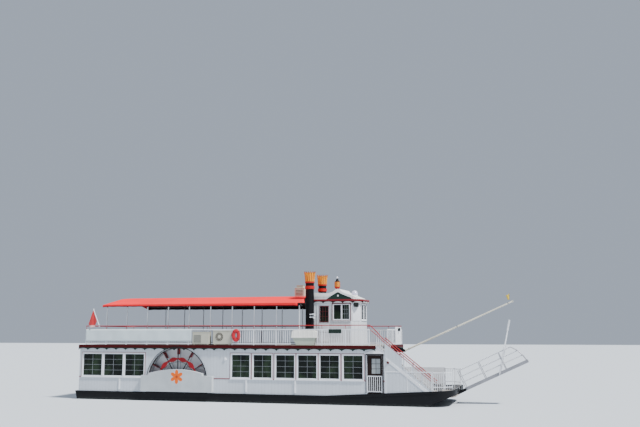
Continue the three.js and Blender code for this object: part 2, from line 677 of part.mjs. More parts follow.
// Canopy frame: posts, eave beams, a ridge beam and a pair of rafters at each post
const POST = { half: 25, y: 2640, first: -11620, pitch: 1382, count: 10 };
const crownSlope = (CANOPY.ridge - CANOPY.kneeTop) / CANOPY.knee;
const sideSlope = (CANOPY.kneeTop - CANOPY.eave) / (CANOPY.half - CANOPY.knee);
function canopyAt(y) {
  const out = Math.abs(y);
  if (out < CANOPY.knee) {
    return CANOPY.ridge - crownSlope * out;
  }
  return CANOPY.kneeTop - sideSlope * (out - CANOPY.knee);
}
const CLOTH = 25; // from the canopy's outer face straight down to its inner face
const UNDER = CLOTH + SEAT;
const frame = [];
const beamEnds = [CANOPY.aft + 60, CANOPY.front - 60];
for (const side of [-1, 1]) {
  const y = side * POST.y;
  frame.push(box(...beamEnds, y - 30, y + 30, canopyAt(POST.y) - UNDER - 70, canopyAt(POST.y) - UNDER - 20));
}
const ridgeTop = CANOPY.ridge - UNDER;
frame.push(box(CANOPY.aft + 60, CANOPY.recess - 60, -30, 30, ridgeTop - 80, ridgeTop - 8));
const RAFTER = { deep: 50, half: 20 };
function rafter(x) {
  const places = [-POST.y, -CANOPY.knee, 0, CANOPY.knee, POST.y];
  const top = places.map((y) => [y, canopyAt(y) - UNDER]);
  const foot = top.map(([y, z]) => [y, z - RAFTER.deep]);
  return plate("yz", [...foot, ...top.reverse()], x - RAFTER.half, x + RAFTER.half);
}
for (let i = 0; i < POST.count; i++) {
  const x = POST.first + i * POST.pitch;
  for (const side of [-1, 1]) {
    const y = side * POST.y;
    const foot = UPPER_DECK + SEAT;
    const head = canopyAt(POST.y) - UNDER - 30;
    frame.push(box(x - POST.half, x + POST.half, y - POST.half, y + POST.half, foot, head));
  }
  if (x < CANOPY.recess) {
    frame.push(rafter(x));
  }
}
frame.push(rafter(CANOPY.recess - 60));
add("canopy_frame", join(frame), WHITE);

// Canopy: one fabric sheet over the frame, with a short skirt, let out round the funnels
const SHEET = 20;
const SKIRT = 90;
const canopyEnds = [
  [-CANOPY.half, CANOPY.eave - SKIRT],
  [SHEET - CANOPY.half, CANOPY.eave - SKIRT],
  [SHEET - CANOPY.half, canopyAt(CANOPY.half - SHEET) - CLOTH],
  [-CANOPY.knee, CANOPY.kneeTop - CLOTH],
  [0, CANOPY.ridge - CLOTH],
  [CANOPY.knee, CANOPY.kneeTop - CLOTH],
  [CANOPY.half - SHEET, canopyAt(CANOPY.half - SHEET) - CLOTH],
  [CANOPY.half - SHEET, CANOPY.eave - SKIRT],
  [CANOPY.half, CANOPY.eave - SKIRT],
  [CANOPY.half, CANOPY.eave],
  [CANOPY.knee, CANOPY.kneeTop],
  [0, CANOPY.ridge],
  [-CANOPY.knee, CANOPY.kneeTop],
  [-CANOPY.half, CANOPY.eave],
];
const canopy = plate("yz", canopyEnds, CANOPY.aft, CANOPY.front).subtract(
  box(CANOPY.recess, CANOPY.front + 10, -CANOPY.recessHalf, CANOPY.recessHalf, 6000, 8000),
);
add("canopy", canopy, CORAL);

const VENT = { aft: -200, front: 400, half: 300, foot: 6880, shoulder: 7440, top: 7620 };
const VENT_SEAT = 1; // above the cloth
const wedgeSide = canopyAt(400) + VENT_SEAT;
const ridgeWedge = [
  [-400, wedgeSide - 300],
  [400, wedgeSide - 300],
  [400, wedgeSide],
  [0, CANOPY.ridge + VENT_SEAT],
  [-400, wedgeSide],
];
const ventBox = join([
  box(VENT.aft, VENT.front, -VENT.half, VENT.half, VENT.foot, VENT.shoulder),
  box(VENT.aft + 90, VENT.front - 90, -210, 210, VENT.shoulder - 10, VENT.top),
]).subtract(plate("yz", ridgeWedge, VENT.aft - 50, VENT.front + 50));
add("roof_vent", ventBox, BEIGE);

// Funnels: a hollow tube with two rings and a flared crown
const funnelProfile = [
  [0, UPPER_DECK + SEAT],
  [300, UPPER_DECK + SEAT],
  [300, UPPER_DECK + 40],
  [FUNNEL.radius, UPPER_DECK + 60],
  [FUNNEL.radius, 7280],
  [290, 7300],
  [290, 7480],
  [258, 7490],
  [258, 7650],
  [290, 7660],
  [290, 7750],
  [278, 7760],
  [305, 8050],
  [355, FUNNEL.top],
  [325, FUNNEL.top],
  [238, 7760],
  [205, 7660],
  [205, 5000],
  [0, 5000],
];
const funnel = turned(funnelProfile, FUNNEL.x, -FUNNEL.y, 24);
addPair("funnel", funnel, BLACK);

// Pilothouse walls, each with its windows cut
const PILOT_GLASS = { sill: 5500, head: 6400 };
const pilotFoot = UPPER_DECK + SEAT;
const PILOT_DOOR = { aft: 1500, front: 2280, head: 6350 };
const pilotEdge = rectangle(PILOT.aft, PILOT.front, pilotFoot, PILOT.top);
const pilotWindow = rectangle(2460, 3440, PILOT_GLASS.sill, PILOT_GLASS.head);
const pilotDoorway = rectangle(PILOT_DOOR.aft, PILOT_DOOR.front, pilotFoot + 60, PILOT_DOOR.head);
const smallWindow = rectangle(1600, 2200, PILOT_GLASS.sill, PILOT_GLASS.head);
const pilotSide = (hole) =>
  openPlate("xz", pilotEdge, [pilotWindow, hole], -PILOT.half, PILOT.wall - PILOT.half);
add("pilothouse_wall_starboard", pilotSide(pilotDoorway), WHITE);
add("pilothouse_wall_port", mirrored(pilotSide(smallWindow)), WHITE);
const pilotInside = PILOT.half - PILOT.wall - SEAT;
const pilotAftEdge = rectangle(-pilotInside, pilotInside, pilotFoot, PILOT.top);
const pilotAftWindow = rectangle(-700, 700, PILOT_GLASS.sill, PILOT_GLASS.head);
const pilotAft = openPlate("yz", pilotAftEdge, [pilotAftWindow], PILOT.aft, PILOT.aft + PILOT.wall);
add("pilothouse_wall_aft", pilotAft, WHITE);
const nosePlan = [
  [PILOT.front + SEAT, -PILOT.half],
  [PILOT.nose, -PILOT.noseHalf],
  [PILOT.nose, PILOT.noseHalf],
  [PILOT.front + SEAT, PILOT.half],
  [PILOT.front + SEAT, PILOT.half - 50],
  [PILOT.nose - PILOT.wall, PILOT.noseHalf - 20],
  [PILOT.nose - PILOT.wall, 20 - PILOT.noseHalf],
  [PILOT.front + SEAT, 50 - PILOT.half],
];
const chamferWindow = (side) => {
  const middle = [(PILOT.front + PILOT.nose) / 2, (side * (PILOT.half + PILOT.noseHalf)) / 2];
  const geometry = new THREE.BoxGeometry(360, 400, PILOT_GLASS.head - PILOT_GLASS.sill);
  geometry.rotateZ(side * Math.atan2(PILOT.noseHalf - PILOT.half, PILOT.nose - PILOT.front));
  geometry.translate(...middle, (PILOT_GLASS.head + PILOT_GLASS.sill) / 2);
  return solid(geometry);
};
const noseWall = cut(plate("xy", outline(nosePlan), pilotFoot, PILOT.top), [
  box(PILOT.nose - 200, PILOT.nose + 50, -680, -60, PILOT_GLASS.sill, PILOT_GLASS.head),
  box(PILOT.nose - 200, PILOT.nose + 50, 60, 680, PILOT_GLASS.sill, PILOT_GLASS.head),
  chamferWindow(-1),
  chamferWindow(1),
]);
add("pilothouse_wall_front", noseWall, WHITE);

const pilotDoorEnds = [PILOT_DOOR.aft + 8, PILOT_DOOR.front - 6];
const pilotDoorEdge = rectangle(...pilotDoorEnds, pilotFoot + 66, PILOT_DOOR.head - 6);
const pilotDoorGlass = rectangle(1660, 2140, 5390, 6270);
const pilotDoorLeaf = openPlate("xz", pilotDoorEdge, [pilotDoorGlass], -PILOT.half, PILOT.wall - PILOT.half);
const pilotDoorKnuckles = knuckles({
  x: PILOT_DOOR.front + 6,
  y: -PILOT.half - KNUCKLE.radius - SEAT,
  leafX: PILOT_DOOR.front - 6,
  leafY: -PILOT.half,
  into: 5,
  heights: [4300, 5200, 6150],
});
const pilotDoor = join([pilotDoorLeaf, ...pilotDoorKnuckles]);
add("pilothouse_door", pilotDoor, WHITE);

// Pilothouse roof: an eave slab and a cambered body with an ogee gable over each side
const roofPlan = [
  [ROOF.aft, -ROOF.half],
  [ROOF.side, -ROOF.half],
  [ROOF.front, -ROOF.noseHalf],
  [ROOF.front, ROOF.noseHalf],
  [ROOF.side, ROOF.half],
  [ROOF.aft, ROOF.half],
];
const gableRise = [
  [ROOF.front - 70, ROOF.band],
  [3530, 6940],
  [3160, 7050],
  [2960, 7170],
  [2860, ROOF.peak],
  [2660, ROOF.peak],
  [2430, 7140],
  [2180, 7060],
  [ROOF.aft, 7090],
];
const roofSide = [[ROOF.aft, ROOF.band - 20], [ROOF.front - 70, ROOF.band - 20], ...gableRise];
const overRoof = plate("xy", outline(roofPlan), ROOF.band - 20, ROOF.peak);
const roofBody = plate("xz", roofSide, -ROOF.half, ROOF.half).intersect(overRoof);
const roof = join([
  plate("xy", outline(roofPlan), PILOT.top + SEAT, ROOF.band),
  roofBody,
  box(PILOT_MIDDLE - 90, PILOT_MIDDLE + 90, -140, 140, 7000, ROOF.pedestal),
  turned([[0, 6900], [150, 6900], [180, 7090], [130, 7220], [0, 7260]], 3500, 0, 12),
]);
add("pilothouse_roof", roof, WHITE);

const finialFoot = ROOF.pedestal + SEAT;
const finial = turned(
  [
    [0, finialFoot],
    [75, finialFoot],
    [150, finialFoot + 60],
    [150, 7490],
    [180, 7500],
    [180, 7800],
    [110, 7830],
    [110, 7990],
    [45, 8010],
    [60, 8070],
    [40, 8115],
    [0, 8125],
  ],
  PILOT_MIDDLE,
  0,
  16,
);
add("roof_finial", finial, YELLOW);

// Helm stand inside the pilothouse
const helm = join([
  box(3250, 3550, -450, 450, pilotFoot, 5100),
  rod([3170, 0, 5000], [3260, 0, 5000], 40, 12),
  rod([3140, 0, 5000], [3180, 0, 5000], 330, 24),
]);
add("helm_console", helm, BROWN);

// What stands on the upper deck by the starboard railing: aft and front ends, outer and inner sides, top
const LOCKERS = [
  { name: "cooling_unit_aft", aft: -5700, front: -4620, outer: 3020, depth: 340, top: 4820 },
  { name: "cooling_unit_forward", aft: -4390, front: -3250, outer: 3020, depth: 340, top: 4870 },
];
for (const { name, aft, front, outer, depth, top } of LOCKERS) {
  add(name, box(aft, front, -outer, depth - outer, UPPER_DECK + SEAT, top), BEIGE);
}
const raftBox = join([
  plate("xz", [[740, UPPER_DECK + SEAT], [1760, UPPER_DECK + SEAT], [1880, 4460], [490, 4460]], -2980, -2720),
  box(440, 1960, -3020, -2680, 4450, 4865),
]);
add("raft_box", raftBox, SPAR);

const BUOY = { x: -2915, z: 4595, across: 315, up: 385 };
const buoyOval = (across, up) =>
  Array.from({ length: 20 }, (_, i) => {
    const turn = (2 * Math.PI * i) / 20;
    return [BUOY.x + across * Math.cos(turn), BUOY.z + up * Math.sin(turn)];
  });
const buoy = openPlate("xz", buoyOval(BUOY.across, BUOY.up), [buoyOval(110, 190)], -3045, -RAIL.half - SEAT);
add("lifebuoy", buoy, RED);

// Flagstaff on the starboard quarter, with its flag hanging
const STAFF = { foot: [-11953, 5182.5], head: [-12380, 6150], y: -2970, radius: 22 };
const onStaff = ([x, z]) => [x, STAFF.y, z];
add("flagstaff", rod(onStaff(STAFF.foot), onStaff(STAFF.head), STAFF.radius, 8), WHITE);
const flagPoints = [[-12365, 6110], [-12075, 5440], [-12240, 5080], [-12520, 5040], [-12680, 5260]];
add("stern_flag", plate("xz", flagPoints, STAFF.y - 60, -HANDRAIL.half - HANDRAIL.radius - SEAT), RED);

// Boom, hinged on a bracket at the front of the upper deck
const boomBracket = join([
  box(EDGE_FRONT + SEAT, EDGE_FRONT + 40, -260, 260, 3600, 3980),
  ...[-1, 1].map((side) => {
    const [root, end] = [EDGE_FRONT + 30, BOOM.x + 60];
    const cheek = [[root, 3620], [end, BOOM.z - 70], [end, BOOM.z + 60], [root, 3960]];
    return plate("xz", cheek, side * 110 - 15, side * 110 + 15);
  }),
  rod([BOOM.x, -120, BOOM.z], [BOOM.x, 120, BOOM.z], BOOM.pin, 12),
]);
add("boom_bracket", boomBracket, BLACK);
const BORE = 0.8; // how much wider than its pin a bore is
const spar = join([
  rod([40, 0, 0], [BOOM.length, 0, 0], BOOM.radius, 12, BOOM.tip),
  rod([0, -85, 0], [0, 85, 0], 60, 16),
  rod([BOOM.length - 60, 0, -60], [BOOM.length - 60, 0, 60], 30, 10),
]);
const boom = add("boom", spar.subtract(rod([0, -100, 0], [0, 100, 0], BOOM.pin + BORE, 24)), SPAR);
boom.position.set(BOOM.x, 0, BOOM.z);
boom.rotation.y = -THREE.MathUtils.degToRad(BOOM.pitch);

// Gangway bracket on the bow, with the hinge pin
const HINGE_HALF = 560;
const armPoints = [
  [9150, MAIN_DECK + SEAT],
  [BOW + 20, MAIN_DECK + SEAT],
  [GANGWAY.x + 50, GANGWAY.z - 60],
  [GANGWAY.x + 50, GANGWAY.z + 50],
  [GANGWAY.x - 60, GANGWAY.z + 50],
  [9600, 1420],
  [9150, 1420],
];
const bracketArm = (side) =>
  plate("xz", armPoints, side * (HINGE_HALF - 30) - 20, side * (HINGE_HALF - 30) + 20);
const gangwayBracket = join([
  bracketArm(-1),
  bracketArm(1),
  box(9200, 9320, -HINGE_HALF + 30, HINGE_HALF - 30, MAIN_DECK + SEAT, 1400),
  rod([GANGWAY.x, 20 - HINGE_HALF, GANGWAY.z], [GANGWAY.x, HINGE_HALF - 20, GANGWAY.z], GANGWAY.pin, 16),
]);
add("gangway_bracket", gangwayBracket, BLACK);

// Gangway: two side beams, a tread plate, cross bars and a railing on each side, drawn level
const beam = (side) =>
  box(-60, GANGWAY.length, side * GANGWAY.beam - 20, side * GANGWAY.beam + 20, -70, GANGWAY.depth - 70);
const gangwayPieces = [
  beam(-1),
  beam(1),
  box(40, GANGWAY.length - 20, -415, 415, 40, 60),
  rod([0, -450, 0], [0, -400, 0], 70, 16),
  rod([0, 400, 0], [0, 450, 0], 70, 16),
];
for (let i = 0; i < 6; i++) {
  const s = 100 + i * 720;
  gangwayPieces.push(box(s, s + 40, -415, 415, -20, 45));
}
const TUBE = 18; // radius of the railings' tube and of the bail's pins
const STANCHIONS = [30, 1280, 2530];
const RAIL_RUNS = [[GANGWAY.rail, 3300], [760, 3560], [430, 3700]]; // height, reach
const RAIL_END = [[3290, GANGWAY.rail], [3560, 765], [3700, 430], [3780, 60]]; // reach, height
for (const side of [-1, 1]) {
  const y = side * GANGWAY.beam;
  for (const s of STANCHIONS) {
    gangwayPieces.push(rod([s, y, 60], [s, y, GANGWAY.rail], TUBE, 8));
  }
  for (const [height, reach] of RAIL_RUNS) {
    gangwayPieces.push(rod([30, y, height], [reach, y, height], TUBE, 8));
  }
  RAIL_END.slice(1).forEach(([reach, height], i) => {
    const [from, top] = RAIL_END[i];
    gangwayPieces.push(rod([from, y, top], [reach, y, height], TUBE, 8));
  });
  gangwayPieces.push(rod([BAIL.along, y + side * 10, 0], [BAIL.along, side * (BAIL.half + 45), 0], TUBE, 12));
}
const gangwayBore = rod([0, -500, 0], [0, 500, 0], GANGWAY.pin + BORE, 24);
const gangway = add("gangway", cut(join(gangwayPieces), [gangwayBore]), METAL);
gangway.position.set(GANGWAY.x, 0, GANGWAY.z);
gangway.rotation.y = -THREE.MathUtils.degToRad(GANGWAY.pitch);

// Lifting bail: a frame that stands over the gangway, drawn upright from its pins
const bailPieces = [box(-45, 45, -110, 110, 2480, BAIL.height)];
for (const side of [-1, 1]) {
  bailPieces.push(rod([0, side * BAIL.half, -45], [0, side * BAIL.half, BAIL.straight], 32, 8));
  bailPieces.push(rod([0, side * BAIL.half, BAIL.straight - 15], [0, side * 70, 2520], 32, 8));
}
const bailBore = rod([0, -700, 0], [0, 700, 0], TUBE + BORE, 24);
const bail = add("gangway_bail", join(bailPieces).subtract(bailBore), WHITE);
const pitch = THREE.MathUtils.degToRad(GANGWAY.pitch);
bail.position.set(GANGWAY.x + BAIL.along * Math.cos(pitch), 0, GANGWAY.z + BAIL.along * Math.sin(pitch));
bail.rotation.y = THREE.MathUtils.degToRad(BAIL.lean);

// Bow winch and the mooring bitts at the sides of the foredeck
const winch = join([
  box(8350, 8650, -330, 330, MAIN_DECK + SEAT, 1400),
  box(8400, 8600, -300, -240, 1390, 1800),
  box(8400, 8600, 240, 300, 1390, 1800),
  rod([8500, -310, 1640], [8500, 310, 1640], 110, 16),
]);
add("bow_winch", winch, METAL);
const bittProfile = [[0, 1320], [55, 1320], [55, 1600], [75, 1620], [75, 1660], [0, 1670]];
const bitts = join([
  box(7750, 8050, -2560, -2360, MAIN_DECK + SEAT, 1330),
  turned(bittProfile, 7820, -2460, 12),
  turned(bittProfile, 7980, -2460, 12),
]);
add("mooring_bitts", mirrored(bitts), BLACK);

// The part's origin lies under the middle of its overall length
const overall = new THREE.Box3().setFromObject(boat);
boat.position.x = -(overall.min.x + overall.max.x) / 2;
const part = new THREE.Group();
part.add(boat);

export default part;
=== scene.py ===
import math

import bmesh
import bpy
from mathutils import Matrix, Vector


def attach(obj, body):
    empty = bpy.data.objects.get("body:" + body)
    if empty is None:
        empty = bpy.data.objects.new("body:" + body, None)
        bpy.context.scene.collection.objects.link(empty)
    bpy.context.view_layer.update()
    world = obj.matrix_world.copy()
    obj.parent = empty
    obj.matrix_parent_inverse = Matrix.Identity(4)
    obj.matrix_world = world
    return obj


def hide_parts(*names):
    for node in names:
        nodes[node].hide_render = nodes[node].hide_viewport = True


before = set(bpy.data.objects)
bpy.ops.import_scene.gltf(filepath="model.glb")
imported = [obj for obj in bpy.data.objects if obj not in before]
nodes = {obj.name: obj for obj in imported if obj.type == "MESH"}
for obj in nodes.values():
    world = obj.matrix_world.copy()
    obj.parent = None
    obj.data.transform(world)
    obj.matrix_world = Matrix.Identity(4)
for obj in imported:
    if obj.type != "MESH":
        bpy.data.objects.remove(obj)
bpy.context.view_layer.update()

# The water and the light
# The boat floats with 0.75 m of its hull under water, so a pale floor stands at that height.
# The eye is 47 m off the starboard side and a little ahead of the middle, close to the water.
WATERLINE = 0.75
MIDDLE = 0.0598  # the origin lies this far ahead of the drawings' own zero

EYE = (14.242 - MIDDLE, -46.882, 4.663)
AZIMUTH = math.radians(15.4)
PITCH = math.radians(8.64)
camera = bpy.data.objects.new("camera", bpy.data.cameras.new("camera"))
bpy.context.scene.collection.objects.link(camera)
camera.data.sensor_width = 36
camera.data.lens = 44.606
camera.data.clip_end = 600
camera.location = EYE
level = math.cos(PITCH)
ahead = Vector((-math.sin(AZIMUTH) * level, math.cos(AZIMUTH) * level, math.sin(PITCH)))
camera.rotation_mode = "QUATERNION"
camera.rotation_quaternion = ahead.to_track_quat("-Z", "Y")
bpy.context.scene.camera = camera

world = bpy.data.worlds.new("sky")
world.use_nodes = True
world.node_tree.nodes["Background"].inputs["Color"].default_value = (0.72, 0.83, 1.0, 1)
world.node_tree.nodes["Background"].inputs["Strength"].default_value = 0.55
bpy.context.scene.world = world

LAMPS = [  # name, strength, width in degrees, turn in degrees
    ("sun", 7.4, 5, (36, 0, 74)),
    ("fill", 0.35, 60, (62, 0, -55)),
]
for label, energy, angle, turn in LAMPS:
    lamp = bpy.data.objects.new(label, bpy.data.lights.new(label, "SUN"))
    lamp.data.energy = energy
    lamp.data.angle = math.radians(angle)
    lamp.rotation_euler = [math.radians(part) for part in turn]
    bpy.context.scene.collection.objects.link(lamp)

REACH = 260
water = bpy.data.meshes.new("water")
shore = [(x * REACH, y * REACH, WATERLINE) for x, y in ((-1, -1), (1, -1), (1, 1), (-1, 1))]
water.from_pydata(shore, [], [(0, 1, 2, 3)])
water_plane = bpy.data.objects.new("water", water)
bpy.context.scene.collection.objects.link(water_plane)
water_paint = bpy.data.materials.new("pale_floor")
water_paint.use_nodes = True
water_paint.node_tree.nodes["Principled BSDF"].inputs["Base Color"].default_value = (0.60, 0.64, 0.68, 1)
water_paint.node_tree.nodes["Principled BSDF"].inputs["Roughness"].default_value = 0.6
water.materials.append(water_paint)


# Hull
# A welded steel scow, painted black, scuffed along the waterline.
# The plates show faint seams, and a round rubbing bar is welded along each side at the deck's height.
def wire(tree, kind, sockets=None, **settings):
    """A new node: each of its sockets, by name or number, takes a value or another node's output."""
    step = tree.nodes.new(kind)
    for key, value in settings.items():
        setattr(step, key, value)
    for key, value in (sockets or {}).items():
        if isinstance(value, bpy.types.NodeSocket):
            tree.links.new(value, step.inputs[key])
        else:
            step.inputs[key].default_value = value
    return step


class Finish:
    """A material's node tree, with short calls that add one step each."""

    def __init__(self, name, colour, roughness, metallic=0.0, coat=0.0, sheen=0.0, specular=0.5):
        self.material = bpy.data.materials.new(name)
        self.material.use_nodes = True
        self.tree = self.material.node_tree
        self.shader = self.tree.nodes["Principled BSDF"]
        self.colour = (*colour, 1)
        values = {"Base Color": self.colour, "Roughness": roughness, "Metallic": metallic,
                  "Coat Weight": coat, "Sheen Weight": sheen, "Specular IOR Level": specular}
        for label, value in values.items():
            self.shader.inputs[label].default_value = value
        self.place = self.tree.nodes.new("ShaderNodeTexCoord").outputs["Object"]
        self.tone = None
        self.relief = None

    def node(self, kind, sockets=None, **settings):
        return wire(self.tree, kind, sockets, **settings)

    def feed(self, label, value):
        self.tree.links.new(value, self.shader.inputs[label])

    def math(self, operation, a, b=0.0, c=0.0):
        return self.node("ShaderNodeMath", {0: a, 1: b, 2: c}, operation=operation).outputs[0]

    def axis(self, letter):
        return self.node("ShaderNodeSeparateXYZ", {0: self.place}).outputs[letter]

    def noise(self, scale, detail=3.0, stretch=(1, 1, 1)):
        spread = self.node("ShaderNodeMapping", {"Vector": self.place, "Scale": stretch})
        cloud = {"Vector": spread.outputs[0], "Scale": scale, "Detail": detail}
        return self.node("ShaderNodeTexNoise", cloud).outputs["Fac"]

    def between(self, value, low, high, start=0.0, end=1.0):
        """value from low to high becomes start to end, held at both ends."""
        span = {"Value": value, "From Min": low, "From Max": high, "To Min": start, "To Max": end}
        return self.node("ShaderNodeMapRange", span).outputs[0]

    def stain(self, mask, colour):
        """Lays colour over what is there, where mask is 1."""
        under = self.colour if self.tone is None else self.tone
        mix = self.node("ShaderNodeMix", {0: mask, 6: under, 7: (*colour, 1)}, data_type="RGBA")
        self.tone = mix.outputs[2]
        self.feed("Base Color", self.tone)

    def drift(self, scale, amount, stretch=(1, 1, 1), dark=0.75):
        """Slow changes of tone, from the colour to a darker one."""
        mask = self.between(self.noise(scale, 4, stretch), 0.35, 0.7, 0, amount / (1 - dark))
        self.stain(mask, [part * dark for part in self.colour[:3]])

    def rough(self, low, high, scale):
        self.feed("Roughness", self.between(self.noise(scale), 0.3, 0.7, low, high))

    def bump(self, height, distance, strength=1.0):
        sockets = {"Strength": strength, "Distance": distance, "Height": height}
        if self.relief is not None:
            sockets["Normal"] = self.relief
        self.relief = self.node("ShaderNodeBump", sockets).outputs[0]
        self.feed("Normal", self.relief)

    def grooves(self, letter, pitch, width, depth, shade):
        """Joints between boards: every pitch along one axis, with a darker line."""
        phase = self.math("FRACT", self.math("MULTIPLY", self.axis(letter), 1 / pitch))
        off = self.math("ABSOLUTE", self.math("SUBTRACT", phase, 0.5))
        line = self.between(off, 0.5 - width / pitch, 0.5 - width / pitch / 2)
        self.stain(self.math("MULTIPLY", line, 0.8), [part * shade for part in self.colour[:3]])
        self.bump(self.math("SUBTRACT", 1.0, line), depth)


def enamel(name, colour, roughness=0.4, coat=0.04, grain=40, specular=0.25):
    """Brushed or sprayed paint: a slow drift of tone, uneven gloss and a fine texture."""
    paint = Finish(name, colour, roughness, coat=coat, specular=specular)
    paint.drift(1.6, 0.12)
    paint.rough(roughness - 0.08, roughness + 0.12, 4.0)
    paint.bump(paint.noise(grain), 0.0006)
    return paint


def new_tree(name, sockets):
    """A geometry tree with a mesh in, the named inputs and a mesh out, and what its inputs give."""
    tree = bpy.data.node_groups.new(name, "GeometryNodeTree")
    for label, kind in {"Geometry": "Geometry", **sockets}.items():
        tree.interface.new_socket(label, in_out="INPUT", socket_type=f"NodeSocket{kind}")
    tree.interface.new_socket("Geometry", in_out="OUTPUT", socket_type="NodeSocketGeometry")
    return tree, tree.nodes.new("NodeGroupInput").outputs


SHARP = 0.6  # radians between two faces, over which their edge stays sharp


def soften():
    """A tree that joins loose triangles and shades them smooth, except over sharp edges."""
    tree, given = new_tree("soften", {"Sharp Angle": "Float"})
    tree.interface.items_tree["Sharp Angle"].default_value = SHARP
    merge = wire(tree, "GeometryNodeMergeByDistance", {"Geometry": given["Geometry"], "Distance": 0.0002})
    smooth = wire(tree, "GeometryNodeSetShadeSmooth", {"Geometry": merge.outputs[0]})
    angle = wire(tree, "GeometryNodeInputMeshEdgeAngle").outputs["Unsigned Angle"]
    over = wire(tree, "FunctionNodeCompare", {0: angle, 1: given["Sharp Angle"]}, operation="GREATER_THAN")
    edges = {"Geometry": smooth.outputs[0], "Selection": over.outputs[0], "Shade Smooth": False}
    crisp = wire(tree, "GeometryNodeSetShadeSmooth", edges, domain="EDGE")
    wire(tree, "NodeGroupOutput", {"Geometry": crisp.outputs[0]})
    return tree


SOFTEN = soften()


def dress(finish, *names):
    """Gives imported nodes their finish."""
    for name in names:
        node = nodes[name]
        node.data.materials.clear()
        node.data.materials.append(finish.material)
        smooth = node.modifiers.new("smooth faces", "NODES")
        smooth.node_group = SOFTEN


hull_black = Finish("hull_black", (0.004, 0.0045, 0.006), 0.5, specular=0.2)
hull_black.drift(0.5, 0.2, (1, 1, 3), 0.5)
low = hull_black.between(hull_black.axis("Z"), WATERLINE + 0.02, WATERLINE + 0.17, 1, 0)
scum = hull_black.between(hull_black.noise(5, 4, (1, 1, 6)), 0.45, 0.6, 0, 0.55)
hull_black.stain(hull_black.math("MULTIPLY", low, scum), (0.07, 0.08, 0.07))
hull_black.grooves("X", 2.4, 0.012, 0.003, 0.5)
hull_black.rough(0.42, 0.62, 2.0)
dress(hull_black, "hull", "rudder_starboard", "rudder_port")


def block(work, x0, x1, y0, y1, z0, z1):
    """A plain bar between two corners."""
    spots = [work.verts.new((x, y, z)) for x in (x0, x1) for y in (y0, y1) for z in (z0, z1)]
    for face in ((0, 1, 3, 2), (4, 6, 7, 5), (0, 4, 5, 1), (2, 3, 7, 6), (0, 2, 6, 4), (1, 5, 7, 3)):
        work.faces.new([spots[i] for i in face])


def circle(sides, phase=0.0):
    turns = [phase + 2 * math.pi * k / sides for k in range(sides)]
    return [(math.cos(turn), math.sin(turn)) for turn in turns]


def bridge(work, a, b):
    """Faces from one closed ring of points to the next."""
    for k in range(len(a)):
        after = (k + 1) % len(a)
        work.faces.new((a[k], a[after], b[after], b[k]))


def pipe(work, path, radius, sides=8, closed=False):
    """A round bar along a path of points, closed at its ends."""
    path = [Vector(point) for point in path]
    rings = []
    side = None
    for i, point in enumerate(path):
        before = path[i - 1] if i or closed else point
        after = path[(i + 1) % len(path)] if i + 1 < len(path) or closed else point
        along = (after - before).normalized()
        if side is None:
            side = along.orthogonal().normalized()
        side = (side - along * side.dot(along)).normalized()
        over = along.cross(side)
        size = radius[i] if isinstance(radius, (list, tuple)) else radius
        rings.append([work.verts.new(point + (side * c + over * s) * size) for c, s in circle(sides)])
    for i in range(len(rings) if closed else len(rings) - 1):
        bridge(work, rings[i], rings[(i + 1) % len(rings)])
    if not closed:
        work.faces.new(rings[0][::-1])
        work.faces.new(rings[-1])


def made(work, finish, soft=0.0):
    """The working mesh as a mesh with its faces outwards, its edges eased and its finish on."""
    if soft:
        bmesh.ops.bevel(work, geom=work.edges[:], offset=soft, segments=1, affect="EDGES", clamp_overlap=True)
    bmesh.ops.recalc_face_normals(work, faces=work.faces)
    mesh = bpy.data.meshes.new("made")
    work.to_mesh(mesh)
    work.free()
    mesh.materials.append(finish.material)
    return mesh


def merged(name, meshes):
    """Several meshes as one, with their finishes kept."""
    paints = []
    work = bmesh.new()
    for mesh in meshes:
        first = len(work.faces)
        work.from_mesh(mesh)
        work.faces.ensure_lookup_table()
        for face in work.faces[first:]:
            paint = mesh.materials[face.material_index]
            if paint not in paints:
                paints.append(paint)
            face.material_index = paints.index(paint)
    whole = bpy.data.meshes.new(name)
    work.to_mesh(whole)
    work.free()
    for paint in paints:
        whole.materials.append(paint)
    return whole


def mirrored(mesh):
    """The same mesh on the other side of the middle line."""
    other = mesh.copy()
    other.transform(Matrix.Diagonal((1, -1, 1, 1)))
    other.flip_normals()
    return other


def both(meshes):
    """The meshes, and the same ones on the other side."""
    return meshes + [mirrored(mesh) for mesh in meshes]


def settle(name, meshes, body="boat", hides=(), smooth=True):
    """A finished piece: its meshes as one, in place, on the body that carries it."""
    mesh = merged(name, meshes)
    mesh.transform(Matrix.Translation((-MIDDLE, 0, 0)))
    if smooth:
        mesh.shade_smooth()
        mesh.set_sharp_from_angle(angle=SHARP)
    piece = bpy.data.objects.new(name, mesh)
    bpy.context.scene.collection.objects.link(piece)
    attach(piece, body)
    if hides:
        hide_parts(*hides)
    return piece


BAR_RUNS = [(-13.38, -8.63), (-4.68, 8.7)]  # aft and ahead of the wheel's plating
bars = bmesh.new()
for x0, x1 in BAR_RUNS:
    steps = int((x1 - x0) / 0.6)
    stations = [x0 + (x1 - x0) * i / steps for i in range(steps + 1)]
    path = [(x, -3.0, 1.19 + 0.33 * (max(0, x - 2.6) / 6.1) ** 1.6) for x in stations]
    pipe(bars, path, 0.03)
settle("rubbing_bars", both([made(bars, hull_black)]))

